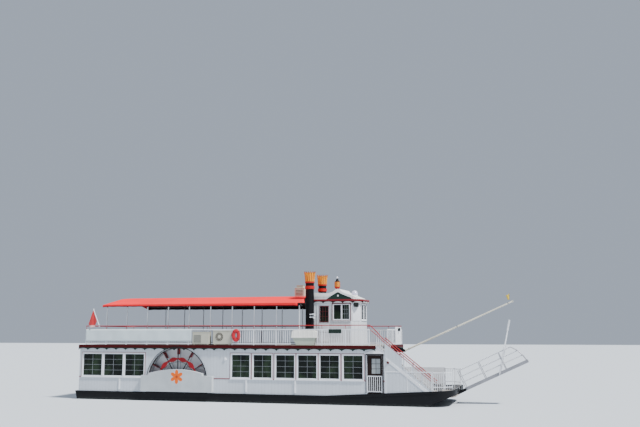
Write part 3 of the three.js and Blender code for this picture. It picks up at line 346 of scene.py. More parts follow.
# Decks
# Both decks are laid with planks that run fore and aft, caulked with dark seams and bleached by the sun.
PLANK = 0.14
planks = Finish("deck_planks", (0.34, 0.30, 0.26), 0.75)
lane = planks.math("FLOOR", planks.math("MULTIPLY", planks.axis("Y"), 1 / PLANK))
pick = planks.node("ShaderNodeTexWhiteNoise", {"W": lane}, noise_dimensions="1D").outputs["Value"]
planks.stain(planks.between(pick, 0, 1, 0, 0.7), (0.24, 0.21, 0.18))
planks.stain(planks.between(planks.noise(3, 5, (0.5, 12, 1)), 0.45, 0.75, 0, 0.5), (0.42, 0.39, 0.34))
planks.grooves("Y", PLANK, 0.008, 0.004, 0.35)
planks.bump(planks.noise(8, 5, (0.6, 14, 1)), 0.002, 0.6)
dress(planks, "main_deck", "upper_deck")

# Deck edge
# A board painted dark red covers the upper deck's edge, and under it hangs a valance of dark green arches.
# The valance is thin sheet metal, screwed to the board's foot.
EDGE = {"aft": -13.26, "front": 5.9, "half": 3.05, "stair": 5.35, "inner": 1.97}
VALANCE = {"pitch": 0.648, "top": 3.88, "arch": 3.81, "foot": 3.70, "thick": 0.012}
edge_red = Finish("edge_red", (0.055, 0.003, 0.004), 0.6, specular=0.12)
edge_red.drift(0.8, 0.15, (1, 1, 4), 0.6)
edge_red.bump(edge_red.noise(20, 3, (0.2, 1, 3)), 0.001)
dress(edge_red, "upper_deck_edge")
valance_green = enamel("valance_green", (0.004, 0.018, 0.013), 0.55, coat=0.0)


def slab(work, outline, low, high, plane="xz"):
    """A flat plate from a closed outline, from one level to another on the third axis."""
    place = {
        "xz": lambda a, b, level: (a, level, b),
        "yz": lambda a, b, level: (level, a, b),
    }[plane]
    back = [work.verts.new(place(a, b, low)) for a, b in outline]
    front = [work.verts.new(place(a, b, high)) for a, b in outline]
    work.faces.new(back)
    work.faces.new(front[::-1])
    bridge(work, back, front)


def arches(start, end, pitch, top, arch, foot):
    """A strip's outline: straight on top, with a row of arches between points along its foot."""
    steps = 8
    count = max(1, round(abs(end - start) / pitch))
    outline = [(start, top), (end, top)]
    for i in range(count * steps, -1, -1):
        across = 2 * (i % steps) / steps - 1 if i % steps else 1
        rise = math.sqrt(max(0, 1 - across * across))
        outline.append((start + (end - start) * i / (count * steps), foot + (arch - foot) * rise))
    return outline


def valance(work, start, end, level, plane):
    strip = arches(start, end, VALANCE["pitch"], VALANCE["top"], VALANCE["arch"], VALANCE["foot"])
    slab(work, strip, level, level + VALANCE["thick"], plane)


drops = bmesh.new()
half, inside = EDGE["half"], VALANCE["thick"] + 0.001
valance(drops, EDGE["aft"], EDGE["stair"], -half + 0.001, "xz")
valance(drops, EDGE["aft"], EDGE["front"], half - inside, "xz")
valance(drops, -half, half, EDGE["aft"] + 0.001, "yz")
valance(drops, -EDGE["inner"], half, EDGE["front"] - inside, "yz")
settle("deck_valance", [made(drops, valance_green)], smooth=False)

# Deckhouse walls
# Upright tongued boards, painted a cool white and streaked a little below the sills.
# A red line runs round at the height of the window sills.
def boards(name, colour, letter, pitch=0.2):
    paint = Finish(name, colour, 0.45)
    paint.drift(0.9, 0.10, (1, 1, 0.25), 0.8)
    paint.grooves(letter, pitch, 0.012, 0.004, 0.78)
    streak = paint.between(paint.noise(6, 4, (1, 1, 0.08)), 0.55, 0.75, 0, 0.35)
    fade = paint.between(paint.axis("Z"), 1.3, 2.1, 1, 0)
    paint.stain(paint.math("MULTIPLY", streak, fade), tuple(part * 0.72 for part in colour))
    paint.bump(paint.noise(40, 2), 0.0006)
    return paint


HOUSE_WHITE = (0.58, 0.62, 0.67)
side_boards = boards("side_boards", HOUSE_WHITE, "X")
end_boards = boards("end_boards", HOUSE_WHITE, "Y")
dress(side_boards, "house_wall_starboard", "house_wall_port", "stair_side")
dress(end_boards, "house_wall_aft", "house_wall_front")

HOUSE = {"aft": -13.2, "front": 5.845, "half": 2.95}
SEAT = -HOUSE["half"] + 0.002  # what is fixed to a side wall goes this far in
trim_red = enamel("trim_red", (0.22, 0.012, 0.018), 0.4)
BELT = {"low": 2.068, "high": 2.112, "proud": 0.012, "doorway": 0.6}
BELT_RUNS = [(HOUSE["aft"], -8.95), (-4.36, 4.76), (5.79, HOUSE["front"])]  # not over wheel and door


def blocks(*bars):
    """Plain bars between pairs of corners, as one working mesh."""
    work = bmesh.new()
    for bar in bars:
        block(work, *bar)
    return work


belt_side = blocks(*[(x0, x1, -HOUSE["half"] - BELT["proud"], SEAT, BELT["low"], BELT["high"])
                     for x0, x1 in BELT_RUNS])
belt_end = blocks(*[(HOUSE["aft"] - BELT["proud"], HOUSE["aft"] + 0.002, y0, y1, BELT["low"], BELT["high"])
                    for y0, y1 in ((-HOUSE["half"], -BELT["doorway"]), (BELT["doorway"], HOUSE["half"]))])
belts = both([made(belt_side, trim_red)]) + [made(belt_end, trim_red)]
settle("wall_belt", belts, smooth=False)

# Deckhouse windows
# Each has a flat white casing with a thin dark red edge, a sill, and a sash of small panes.
# The sashes are softwood, and the glass is a dark sheet with painted shade of the unlit cabin and painted
# reflections.
window_white = enamel("window_white", (0.80, 0.82, 0.86), 0.38)
# The glazing bars are white like the sashes; their grey is painted shade of the deep sash.
bar_grey = enamel("bar_grey", (0.26, 0.28, 0.30), 0.5)
# The glass's near-black colour is painted shade of the unlit cabin behind it, and its green patches are
# painted reflection of trees.
pane_glass = Finish("pane_glass", (0.004, 0.006, 0.005), 0.16, specular=0.15)
painted_reflection = pane_glass.between(pane_glass.noise(1.6, 4, (1, 1, 0.6)), 0.45, 0.65, 0, 0.8)
pane_glass.stain(painted_reflection, (0.022, 0.040, 0.020))
pane_glass.bump(pane_glass.noise(1.1, 1), 0.004, 0.3)
dress(window_white, "window_sashes_aft_starboard", "window_sashes_aft_port",
      "window_sashes_forward_starboard", "window_sashes_forward_port")

WINDOWS = [(-12.32, 1.30), (-10.90, 1.30), (-9.48, 1.30)] + [
    (x, 1.14) for x in (-2.645, -1.305, 0.064, 1.379, 2.691, 4.05)
]
END_WINDOW = (1.3, 2.5)  # its sides, out from the middle line
SILL, HEAD = 2.15, 3.49
LAP = 0.004  # how far a pane goes into its sash
CASING = {"wide": 0.060, "proud": 0.022, "edge": 0.026, "sash": 0.030, "bar": 0.013}


def fresh(shape, *values):
    """A shape drawn in a new working mesh."""
    work = bmesh.new()
    shape(work, *values)
    return work


def panel(work, plane, a0, a1, d0, d1, z0, z1):
    """A bar on a wall: a runs along the wall, d through it."""
    if plane == "side":
        block(work, a0, a1, d0, d1, z0, z1)
    else:
        block(work, d0, d1, a0, a1, z0, z1)


def surround(work, plane, a0, a1, z0, z1, wide, d0, d1):
    """Bars round an opening, just outside its edges."""
    panel(work, plane, a0 - wide, a1 + wide, d0, d1, z1, z1 + wide)
    panel(work, plane, a0 - wide, a1 + wide, d0, d1, z0 - wide, z0)
    panel(work, plane, a0 - wide, a0, d0, d1, z0, z1)
    panel(work, plane, a1, a1 + wide, d0, d1, z0, z1)


def grid(work, plane, a0, a1, z0, z1, columns, rows, wide, d0, d1):
    """Glazing bars that part an opening into columns and rows of panes."""
    for i in range(1, columns):
        a = a0 + (a1 - a0) * i / columns
        panel(work, plane, a - wide / 2, a + wide / 2, d0, d1, z0, z1)
    for i in range(1, rows):
        z = z0 + (z1 - z0) * i / rows
        panel(work, plane, a0, a1, d0 + 0.002, d1 - 0.002, z - wide / 2, z + wide / 2)


def window(plane, a0, a1, z0, z1, face, out, columns=2, rows=4, deep=0.05, edge=trim_red,
           wide=CASING["wide"]):
    """Casing, edge, sill, sash, bars and pane of one window: face is the wall's outer face, out its side."""
    proud = CASING["proud"] * out
    lining = fresh(surround, plane, a0, a1, z0, z1, wide, face, face + proud)
    sill = (a0 - wide - 0.02, a1 + wide + 0.02, face, face + proud * 2)
    panel(lining, plane, *sill, z0 - wide - 0.03, z0 - wide)
    outside = (a0 - wide, a1 + wide, z0 - wide, z1 + wide, CASING["edge"])
    rim = fresh(surround, plane, *outside, face, face + proud * 0.7)
    sash = CASING["sash"]
    inner = face - out * deep
    left, right, foot, head = a0 + sash, a1 - sash, z0 + sash, z1 - sash
    sashes = fresh(surround, plane, left, right, foot, head, sash, inner, inner + out * 0.03)
    bars = (columns, rows, CASING["bar"], inner + out * 0.004, inner + out * 0.024)
    glazing = fresh(grid, plane, left, right, foot, head, *bars)
    glass = (left - LAP, right + LAP, inner + out * 0.008, inner + out * 0.014, foot - LAP, head + LAP)
    return [made(lining, window_white, 0.003), made(rim, edge), made(sashes, window_white),
            made(fresh(panel, plane, *glass), pane_glass), made(glazing, bar_grey)]


side_windows = []
for middle, width in WINDOWS:
    ends = middle - width / 2, middle + width / 2
    side_windows += window("side", *ends, SILL, HEAD, -HOUSE["half"], -1, deep=0.055)
settle("house_windows_sides", both(side_windows), smooth=False)
end_windows = []
near, far = END_WINDOW
for a0, a1 in ((-far, -near), (near, far)):
    end_windows += window("end", a0, a1, SILL, HEAD, HOUSE["aft"], -1)
end_windows += window("end", near, far, SILL, HEAD, HOUSE["front"], 1)
settle("house_windows_ends", end_windows, smooth=False)

# Side doors and gates
# Brown painted doors with two raised panels under a window, in brown frames under a low white pediment.
# A white gate of square bars hangs outside each one, at the height of a person's chest.
DOOR_FACE = -2.885
DOOR_LIGHT = (5.10, 5.585, 2.48, 3.30)  # aft, front, foot and head of its window
DOOR_PANEL = {"wide": 0.28, "foot": 1.50, "head": 2.32, "border": 0.05}
DOOR_FRAME = {"face": -2.972, "foot": 1.44, "lintel": 3.505, "head": 3.57}
DOOR_POSTS = [(4.765, 4.805), (5.712, 5.790)]
HOOD = {"aft": 4.72, "front": 5.83, "face": -3.00, "back": SEAT, "foot": 3.575, "top": 3.62}
PEDIMENT = [(4.76, 3.615), (5.80, 3.615), (5.28, 3.80)]
door_brown = enamel("door_brown", (0.014, 0.006, 0.004), 0.6, coat=0.0, specular=0.2)
curtain_glass = Finish("curtain_glass", (0.30, 0.33, 0.34), 0.12)
# The door's glass shows a grey curtain behind it; its darker upright bands are painted shade in the curtain's
# folds.
fold_shade = curtain_glass.between(curtain_glass.noise(3, 3, (6, 1, 0.4)), 0.4, 0.7, 0, 0.6)
curtain_glass.stain(fold_shade, (0.16, 0.19, 0.20))
curtain_glass.bump(curtain_glass.noise(1.5, 1), 0.003, 0.3)
dress(door_brown, "side_door_starboard", "side_door_port", "helm_console")


def sided(meshes):
    """The meshes with the side's name: as they are for starboard, and mirrored for port."""
    return ("starboard", meshes), ("port", [mirrored(mesh) for mesh in meshes])


def glazed(light, near, far):
    """A pane that laps the edges of its opening."""
    aft, front, foot, head = light
    return fresh(block, aft - LAP, front + LAP, near, far, foot - LAP, head + LAP)


mouldings = bmesh.new()
wide, foot, head, border = DOOR_PANEL.values()
for x in (4.96, 5.31):
    block(mouldings, x, x + wide, DOOR_FACE - 0.012, DOOR_FACE + 0.002, foot, head)
    block(mouldings, x + border, x + wide - border, DOOR_FACE - 0.022, DOOR_FACE - 0.010,
          foot + border, head - border)
surround(mouldings, "side", *DOOR_LIGHT, 0.04, DOOR_FACE - 0.012, DOOR_FACE + 0.002)
grid(mouldings, "side", *DOOR_LIGHT, 2, 3, 0.02, DOOR_FACE + 0.006, DOOR_FACE + 0.03)
pane = glazed(DOOR_LIGHT, DOOR_FACE + 0.014, DOOR_FACE + 0.02)
for word, meshes in sided([made(mouldings, door_brown, 0.004), made(pane, curtain_glass)]):
    settle(f"side_door_panels_{word}", meshes, body=f"side_door_{word}", smooth=False)

hood = blocks(HOOD.values())
slab(hood, PEDIMENT, -2.985, SEAT)
face, foot, lintel, head = DOOR_FRAME.values()
posts = blocks(*[(x0, x1, face, SEAT, foot, head) for x0, x1 in DOOR_POSTS],
               (DOOR_POSTS[0][1], DOOR_POSTS[1][0], face, SEAT, lintel, head))
hood_side = [made(hood, window_white, 0.004), made(posts, door_brown, 0.003)]
settle("door_hoods", both(hood_side), smooth=False)

rail_white = enamel("rail_white", (0.78, 0.80, 0.84), 0.4)
dress(rail_white, "upper_rail_starboard", "upper_rail_port", "upper_rail_stern", "upper_rail_front",
      "foredeck_rail_starboard", "foredeck_rail_port", "stair", "side_gate_starboard",
      "side_gate_port", "flagstaff")

# Wheels
# Each wheel has a steel rim and twelve flat spokes painted black, with leaf boards and paddles painted red.
# The spokes are bolted to a hub on a round axle that runs in the wheel box's bearing.
def repeater(name, sockets):
    """A tree that repeats the piece it is given: along a line, or round an axis through a centre."""
    tree, given = new_tree(name, {"Count": "Int", **sockets, "Finish": "Material"})
    line = wire(tree, "GeometryNodeMeshLine", {"Count": given["Count"]})
    spots = {"Points": line.outputs[0], "Instance": given["Geometry"]}
    if "Step" in sockets:
        tree.links.new(given["Step"], line.inputs["Offset"])
    else:
        tree.links.new(given["Centre"], line.inputs["Start Location"])
        line.inputs["Offset"].default_value = (0, 0, 0)
        number = wire(tree, "GeometryNodeInputIndex").outputs[0]
        share = wire(tree, "ShaderNodeMath", {0: number, 1: given["Count"]}, operation="DIVIDE")
        turn = wire(tree, "ShaderNodeMath", {0: share.outputs[0], 1: 2 * math.pi}, operation="MULTIPLY")
        spin = {0: given["Axis"], "Scale": turn.outputs[0]}
        spots["Rotation"] = wire(tree, "ShaderNodeVectorMath", spin, operation="SCALE").outputs[0]
    spread = wire(tree, "GeometryNodeInstanceOnPoints", spots)
    real = wire(tree, "GeometryNodeRealizeInstances", {"Geometry": spread.outputs[0]})
    paint = wire(tree, "GeometryNodeSetMaterial", {"Geometry": real.outputs[0], "Material": given["Finish"]})
    wire(tree, "NodeGroupOutput", {"Geometry": paint.outputs[0]})
    return tree


ROW = repeater("row along a line", {"Step": "Vector"})
RING = repeater("ring round an axis", {"Centre": "Vector", "Axis": "Vector"})


def grown(tree, mesh, **values):
    """The mesh that a tree makes from the one it is given."""
    seed = bpy.data.objects.new("seed", mesh)
    bpy.context.scene.collection.objects.link(seed)
    change = seed.modifiers.new("tree", "NODES")
    change.node_group = tree
    for item in tree.interface.items_tree:
        if item.in_out == "INPUT" and item.name in values:
            change[item.identifier] = values[item.name]
    seed.update_tag()
    result = bpy.data.meshes.new_from_object(seed.evaluated_get(bpy.context.evaluated_depsgraph_get()))
    bpy.data.objects.remove(seed)
    return result


def row(mesh, count, step):
    return grown(ROW, mesh, Count=count, Step=step, Finish=mesh.materials[0])


def ring(mesh, count, centre, axis=(0, 1, 0)):
    return grown(RING, mesh, Count=count, Centre=centre, Axis=axis, Finish=mesh.materials[0])


WHEEL = {"x": -6.655, "z": 1.970, "radius": 1.9, "outer": 2.875, "inner": 2.495, "spokes": 12}
HOOPS = [(WHEEL["radius"] - 0.04, WHEEL["radius"], 0.0), (1.05, 1.07, 0.004)]  # inside, outside, set back
FLAT = {"from": 0.10, "to": 1.87, "half": 0.027, "bolt": 0.014, "bolts": (0.55, 1.10, 1.40, 1.80)}  # a spoke
wheel_black = enamel("wheel_black", (0.007, 0.007, 0.009), 0.5)
wheel_red = enamel("wheel_red", (0.30, 0.005, 0.010), 0.5, grain=25)
leaf_red = enamel("leaf_red", (0.28, 0.004, 0.010), 0.5, grain=25)
wheel_grey = enamel("wheel_grey", (0.50, 0.52, 0.55), 0.5)


def lathe(work, profile, x=0.0, y=0.0, sides=24, axis="Z"):
    """A turned piece: the profile lists (radius, height) pairs, and both ends are closed."""
    place = {"Z": lambda c, s, h: (x + c, y + s, h), "Y": lambda c, s, h: (x + c, h, y + s),
             "X": lambda c, s, h: (h, x + c, y + s)}[axis]
    rings = [[work.verts.new(place(r * c, r * s, h)) for c, s in circle(sides)] for r, h in profile]
    for a, b in zip(rings, rings[1:]):
        bridge(work, a, b)
    work.faces.new(rings[0][::-1])
    work.faces.new(rings[-1])


def hoop(work, inner, outer, y0, y1, sides=72):
    """A flat ring round the wheel's axis, at the origin."""
    corners = ((inner, y0), (outer, y0), (outer, y1), (inner, y1))
    rings = [[work.verts.new((r * c, y, r * s)) for c, s in circle(sides)] for r, y in corners]
    for i in range(4):
        bridge(work, rings[i], rings[(i + 1) % 4])


centre = (WHEEL["x"], 0, WHEEL["z"])
outer, inner, count = -WHEEL["outer"], -WHEEL["inner"], WHEEL["spokes"]
wheel = []
for y, paint in ((outer, wheel_black), (inner - 0.03, wheel_grey)):
    rims, bolts = bmesh.new(), bmesh.new()
    for inside, outside, back in HOOPS:
        hoop(rims, inside, outside, y + back, y + 0.03 - back)
    wheel.append(made(rims, paint))
    wheel[-1].transform(Matrix.Translation(centre))
    spoke = fresh(block, FLAT["from"], FLAT["to"], y - 0.004, y + 0.026, -FLAT["half"], FLAT["half"])
    for reach in FLAT["bolts"]:
        pipe(bolts, [(reach, y - 0.012, 0.0), (reach, y + 0.004, 0.0)], FLAT["bolt"], 6)
    wheel += [ring(made(spoke, paint), count, centre), ring(made(bolts, paint), count, centre)]

LEAF = {"steps": 10, "middle": 1.24, "tip": 0.030, "swell": 0.100}  # one board between two spokes
half_turn = math.pi / count
curves = ([], [])
for k in range(LEAF["steps"] + 1):
    turn = 2 * half_turn * k / LEAF["steps"]
    swell = LEAF["tip"] + LEAF["swell"] * math.sin(math.pi * k / LEAF["steps"]) ** 1.3
    chord = LEAF["middle"] * (0.55 * math.cos(half_turn) / math.cos(turn - half_turn) + 0.45)
    for curve, sign in zip(curves, (1, -1)):
        reach = chord + sign * swell
        curve.append((reach * math.cos(turn), reach * math.sin(turn)))
leaf = fresh(slab, curves[0] + curves[1][::-1], outer - 0.016, outer + 0.004)
paddle = fresh(block, 1.49, FLAT["to"], outer + 0.002, inner - 0.002, 0.030, 0.058)
wheel += [ring(made(leaf, leaf_red), count, centre), ring(made(paddle, wheel_red, 0.003), count, centre)]
HUB = [(0.05, outer - 0.035), (0.10, outer - 0.03), (0.17, outer - 0.02), (0.17, outer + 0.04),
       (0.10, outer + 0.05), (0.10, inner - 0.05), (0.17, inner - 0.04), (0.17, inner + 0.01),
       (0.07, inner + 0.012), (0.07, -2.37)]
wheel.append(made(fresh(lathe, HUB, WHEEL["x"], WHEEL["z"], 24, "Y"), wheel_black))

# The wheel box is whiter than the deckhouse walls as painted light, making up for the shade that the deck
# throws into its recess.
box_white = enamel("box_white", (0.86, 0.88, 0.90), 0.6)
dress(box_white, "wheel_box_starboard", "wheel_box_port")
for word, meshes in sided(wheel):
    body = f"paddle_wheel_{word}"
    settle(f"wheel_{word}", meshes, body=body, hides=(body,))

# Wheel casings
# A flat box of painted plate hides each wheel's lower half, raised in a low arch between two level shoulders.
# An orange rosette is painted on it, and a thin black strip springs from its shoulders over the wheel.
WELL = {"half": 1.9547, "side": 3.0, "plate": 0.04, "foot": 0.03}
COVER = {"x": -6.59, "half": 2.285, "foot": 1.30, "shoulder": 2.235, "outer": -3.23, "inner": -2.9505}
ARCH = {"x": -6.65, "half": 1.71, "foot": 2.37, "top": 2.60}
STRIP = {"inner": 1.905, "outer": 1.945, "face": -3.068, "back": -3.053}
ROSETTE = {"x": -6.545 - MIDDLE, "z": 2.17, "radius": 0.43, "waves": 3}  # each wave makes two petals
casing_grey = enamel("casing_grey", (0.50, 0.53, 0.55), 0.6, coat=0.0)
calc = casing_grey.math
right = calc("SUBTRACT", casing_grey.axis("X"), ROSETTE["x"])
up = calc("SUBTRACT", casing_grey.axis("Z"), ROSETTE["z"])
reach = calc("SQRT", calc("ADD", calc("MULTIPLY", right, right), calc("MULTIPLY", up, up)))
wave = calc("ABSOLUTE", calc("SINE", calc("MULTIPLY", calc("ARCTAN2", up, right), ROSETTE["waves"])))
edge = calc("MULTIPLY_ADD", wave, ROSETTE["radius"] * 0.55, ROSETTE["radius"] * 0.45)
casing_grey.stain(casing_grey.between(calc("DIVIDE", reach, edge), 0.94, 1.0, 1, 0), (0.78, 0.13, 0.006))
casing_grey.stain(casing_grey.between(reach, 0.06, 0.09, 1, 0), (0.40, 0.05, 0.01))

aft_end, front_end = COVER["x"] - COVER["half"], COVER["x"] + COVER["half"]
outline = [(aft_end, COVER["foot"]), (front_end, COVER["foot"]), (front_end, COVER["shoulder"]),
           (ARCH["x"] + ARCH["half"], COVER["shoulder"])]
for k in range(21):
    share = 1 - k / 10
    rise = (ARCH["top"] - ARCH["foot"]) * (1 - share * share)
    outline.append((ARCH["x"] + ARCH["half"] * share, ARCH["foot"] + rise))
outline += [(ARCH["x"] - ARCH["half"], COVER["shoulder"]), (aft_end, COVER["shoulder"])]
cover = fresh(slab, outline, COVER["outer"], COVER["inner"])
skirt = fresh(block, WHEEL["x"] - WELL["half"], WHEEL["x"] + WELL["half"], -WELL["side"],
              WELL["plate"] - WELL["side"], WELL["foot"], COVER["foot"] - 0.001)
bend = [math.radians(8 + 164 * k / 48) for k in range(49)]
curves = [[(WHEEL["x"] + r * math.cos(t), WHEEL["z"] + r * math.sin(t)) for t in bend]
          for r in (STRIP["outer"], STRIP["inner"])]
strip = fresh(slab, curves[0] + curves[1][::-1], STRIP["face"], STRIP["back"])
casing = [made(cover, casing_grey, 0.006), made(skirt, hull_black), made(strip, wheel_black)]
for word, meshes in sided(casing):
    settle(f"casing_{word}", meshes, hides=(f"wheel_casing_{word}",), smooth=False)

# Railings
# White painted posts and rails, with a row of square balusters in each bay.
# A red tube on stubs runs above them as a handrail.
RAIL = {"aft": -12.84, "front": 5.025, "y": 2.97, "foot": 4.12, "top": 4.89, "bar": 0.014, "pitch": 0.137}
OPEN_BAYS = [(-5.735, -3.215), (0.41, 1.99)]


def rail_bars(start, end, plane, level, skips=(), pitch=RAIL["pitch"]):
    """Balusters between two ends, left out over some spans."""
    count = round(abs(end - start) / pitch)
    step, half = (end - start) / count, RAIL["bar"]
    along = (step, 0, 0) if plane == "side" else (0, step, 0)
    runs = []
    for i in range(1, count):
        if any(a < start + i * step < b for a, b in skips):
            continue
        if runs and runs[-1][1] == i - 1:
            runs[-1][1] = i
        else:
            runs.append([i, i])
    pieces = []
    for first, last in runs:
        at = start + first * step
        bar = fresh(panel, plane, at - half, at + half, level - half, level + half, RAIL["foot"], RAIL["top"])
        pieces.append(row(made(bar, rail_white), last - first + 1, along))
    return pieces


balusters = rail_bars(RAIL["aft"], RAIL["front"], "side", -RAIL["y"], OPEN_BAYS)
balusters += rail_bars(RAIL["aft"], 5.84, "side", RAIL["y"])
balusters += rail_bars(-2.94, 2.94, "end", RAIL["aft"] + 0.02)
balusters += rail_bars(-1.95, 2.94, "end", 5.82, pitch=2.2 * RAIL["pitch"])
settle("upper_balusters", balusters, smooth=False)

rail_red = enamel("rail_red", (0.34, 0.012, 0.015), 0.6, coat=0.0, specular=0.3)
dress(rail_red, "handrail")

# Box on the railing
# A dark green box of sheet metal is screwed to the outside of the starboard railing, at its top bar.
# Nothing is written on it.
RAIL_BOX = {"aft": 2.66, "front": 3.40, "outer": -3.03, "inner": -2.985, "foot": 4.70, "top": 4.93}
box_green = enamel("box_green", (0.010, 0.022, 0.016), 0.4)
settle("rail_box", [made(blocks(RAIL_BOX.values()), box_green, 0.008)], smooth=False)

# Banner
# A sheet of coated cloth is stretched along the after part of the starboard railing, plain on both sides.
# It is hemmed, eyeleted and tied to the balusters, and sags a little between the ties.
BANNER = {"aft": -12.82, "front": -5.76, "foot": 4.225, "top": 4.96, "y": -3.008}
BANNER |= {"columns": 140, "rows": 8, "ties": 0.548, "sag": 0.012}
banner_cloth = Finish("banner_cloth", (0.60, 0.68, 0.70), 0.55, sheen=0.1)
banner_cloth.drift(0.9, 0.10, (1, 1, 0.6), 0.8)
banner_cloth.bump(banner_cloth.noise(5, 3, (1, 1, 0.5)), 0.006, 0.5)
up, hem, soft = banner_cloth.axis("Z"), BANNER["foot"] + 0.02, 0.004
rise = banner_cloth.between(up, hem - soft, hem)
fall = banner_cloth.between(up, hem + 0.006, hem + 0.006 + soft, 1, 0)
banner_cloth.stain(banner_cloth.math("MULTIPLY", rise, fall), (0.42, 0.47, 0.50))


def weave(work, columns, rows, spot):
    """A sheet of four-sided cells through the points that spot gives for each column and row."""
    net = [[work.verts.new(spot(i, j)) for j in range(rows + 1)] for i in range(columns + 1)]
    for i in range(columns):
        for j in range(rows):
            work.faces.new((net[i][j], net[i + 1][j], net[i + 1][j + 1], net[i][j + 1]))


def thicken(piece, thickness):
    """Gives a sheet the thickness of its cloth."""
    cloth = piece.modifiers.new("cloth", "SOLIDIFY")
    cloth.thickness = thickness


def banner_spot(i, j):
    x = BANNER["aft"] + (BANNER["front"] - BANNER["aft"]) * i / BANNER["columns"]
    v = j / BANNER["rows"]
    tie = math.sin(math.pi * x / BANNER["ties"]) ** 2
    z = BANNER["foot"] + (BANNER["top"] - BANNER["foot"]) * v - BANNER["sag"] * tie * (v - 0.2)
    ripple = 0.006 * math.sin(x * 5.1 + 2 * v) + 0.004 * math.sin(x * 11.3) * (1 - v)
    return x, BANNER["y"] + ripple, z


sheet = fresh(weave, BANNER["columns"], BANNER["rows"], banner_spot)
banner = settle("banner", [made(sheet, banner_cloth)], hides=("rail_banner",))
thicken(banner, 0.002)

# Canopy
# One sheet of coral awning cloth over the upper deck, laced to the frame's rafters.
# It is let out round the funnels, sags a little between the rafters and ends in a short skirt.
# Its underside and the skirt's inner faces are painted nearly black as painted shade under the awning.
SHADE = (0.014, 0.003, 0.004)
coral = Finish("canopy_cloth", (0.95, 0.025, 0.032), 0.85, specular=0.15)
coral.drift(0.5, 0.12)
normal = coral.node("ShaderNodeNewGeometry").outputs["Normal"]
facing = coral.node("ShaderNodeSeparateXYZ", {0: normal}).outputs
# Faces turned down, and the skirt's faces turned inboard, take painted shade.
coral.stain(coral.between(facing["Z"], -0.7, -0.5, 1, 0), SHADE)
inward = coral.math("MULTIPLY", coral.axis("Y"), facing["Y"])
coral.stain(coral.between(inward, -1.6, -1.2, 1, 0), SHADE)
coral.bump(coral.noise(9), 0.004, 0.5)
CANOPY = {"aft": -11.72, "front": 1.25, "half": 3.05, "skirt": 0.13, "deeper": 0.06, "strips": 90}
CANOPY |= {"eave": 6.44, "knee": 0.7, "knee_top": 6.90, "ridge": 6.96}
CANOPY |= {"sag": 0.022, "rounded": 0.5, "droop": 0.02, "crease": 0.012, "crease_half": 0.25}
POSTS = [-11.62 + 1.382 * i for i in range(10)]
NOTCH = {"x": 0.82, "half": 1.72}  # the front edge's middle, let out for the funnels
SIDE_CELLS, CROWN_CELLS = 10, 3
ACROSS = [CANOPY["knee"] * j / CROWN_CELLS for j in range(CROWN_CELLS)]
ACROSS += [CANOPY["knee"] + (CANOPY["half"] - CANOPY["knee"]) * j / SIDE_CELLS for j in range(SIDE_CELLS + 1)]
ACROSS = [-y for y in ACROSS[:0:-1]] + ACROSS


def canopy_top(x, y):
    share = abs(y) / CANOPY["half"]
    knee = CANOPY["knee"] / CANOPY["half"]
    if share < knee:
        z = CANOPY["ridge"] - (CANOPY["ridge"] - CANOPY["knee_top"]) * share / knee
    else:
        z = CANOPY["knee_top"] - (CANOPY["knee_top"] - CANOPY["eave"]) * (share - knee) / (1 - knee)
    behind = [post for post in POSTS if post <= x]
    if behind and behind[-1] != POSTS[-1]:
        along = (x - behind[-1]) / (POSTS[1] - POSTS[0])
        z -= CANOPY["sag"] * math.sin(math.pi * along) * math.sin(math.pi * min(1, share)) ** 0.6
    round_off = max(0.0, 1 - (x - CANOPY["aft"]) / CANOPY["rounded"])
    crease = CANOPY["crease"] * math.exp(-((y / CANOPY["crease_half"]) ** 2))
    return z - CANOPY["droop"] * round_off ** 2 - crease


def canopy_spot(i, j):
    y = ACROSS[j]
    beside = max(0.0, (abs(y) - NOTCH["half"]) / (CANOPY["half"] - NOTCH["half"]))
    front = NOTCH["x"] + (CANOPY["front"] - NOTCH["x"]) * beside
    x = CANOPY["aft"] + (front - CANOPY["aft"]) * i / CANOPY["strips"]
    return x, y, canopy_top(x, y)


work = fresh(weave, CANOPY["strips"], len(ACROSS) - 1, canopy_spot)
rim = [e for e in work.edges if len(e.link_faces) == 1]
hanging = [e for e in rim if any(v.co.x < NOTCH["x"] - 0.01 for v in e.verts)]
skirt = bmesh.ops.extrude_edge_only(work, edges=hanging)
for vert in (g for g in skirt["geom"] if isinstance(g, bmesh.types.BMVert)):
    wave = 0.006 * math.sin(vert.co.x * 9) + 0.006 * math.sin(vert.co.y * 11)
    share = (vert.co.x - CANOPY["aft"]) / (CANOPY["front"] - CANOPY["aft"])
    vert.co.z -= CANOPY["skirt"] + CANOPY["deeper"] * share + wave
    vert.co.y *= 0.996
canopy = settle("canopy_cloth", [made(work, coral)], hides=("canopy",))
thicken(canopy, 0.004)
length = CANOPY["front"] - CANOPY["aft"] + 2 * CANOPY["skirt"]
side = math.hypot(CANOPY["half"] - CANOPY["knee"], CANOPY["knee_top"] - CANOPY["eave"])

frame_paint = enamel("frame_paint", (0.74, 0.76, 0.79), 0.4)
# The white frame's rafters and bars above 6.3 m, under the cloth, are painted nearly black as painted shade.
frame_paint.stain(frame_paint.between(frame_paint.axis("Z"), 6.28, 6.30), (0.030, 0.006, 0.007))
dress(frame_paint, "canopy_frame")

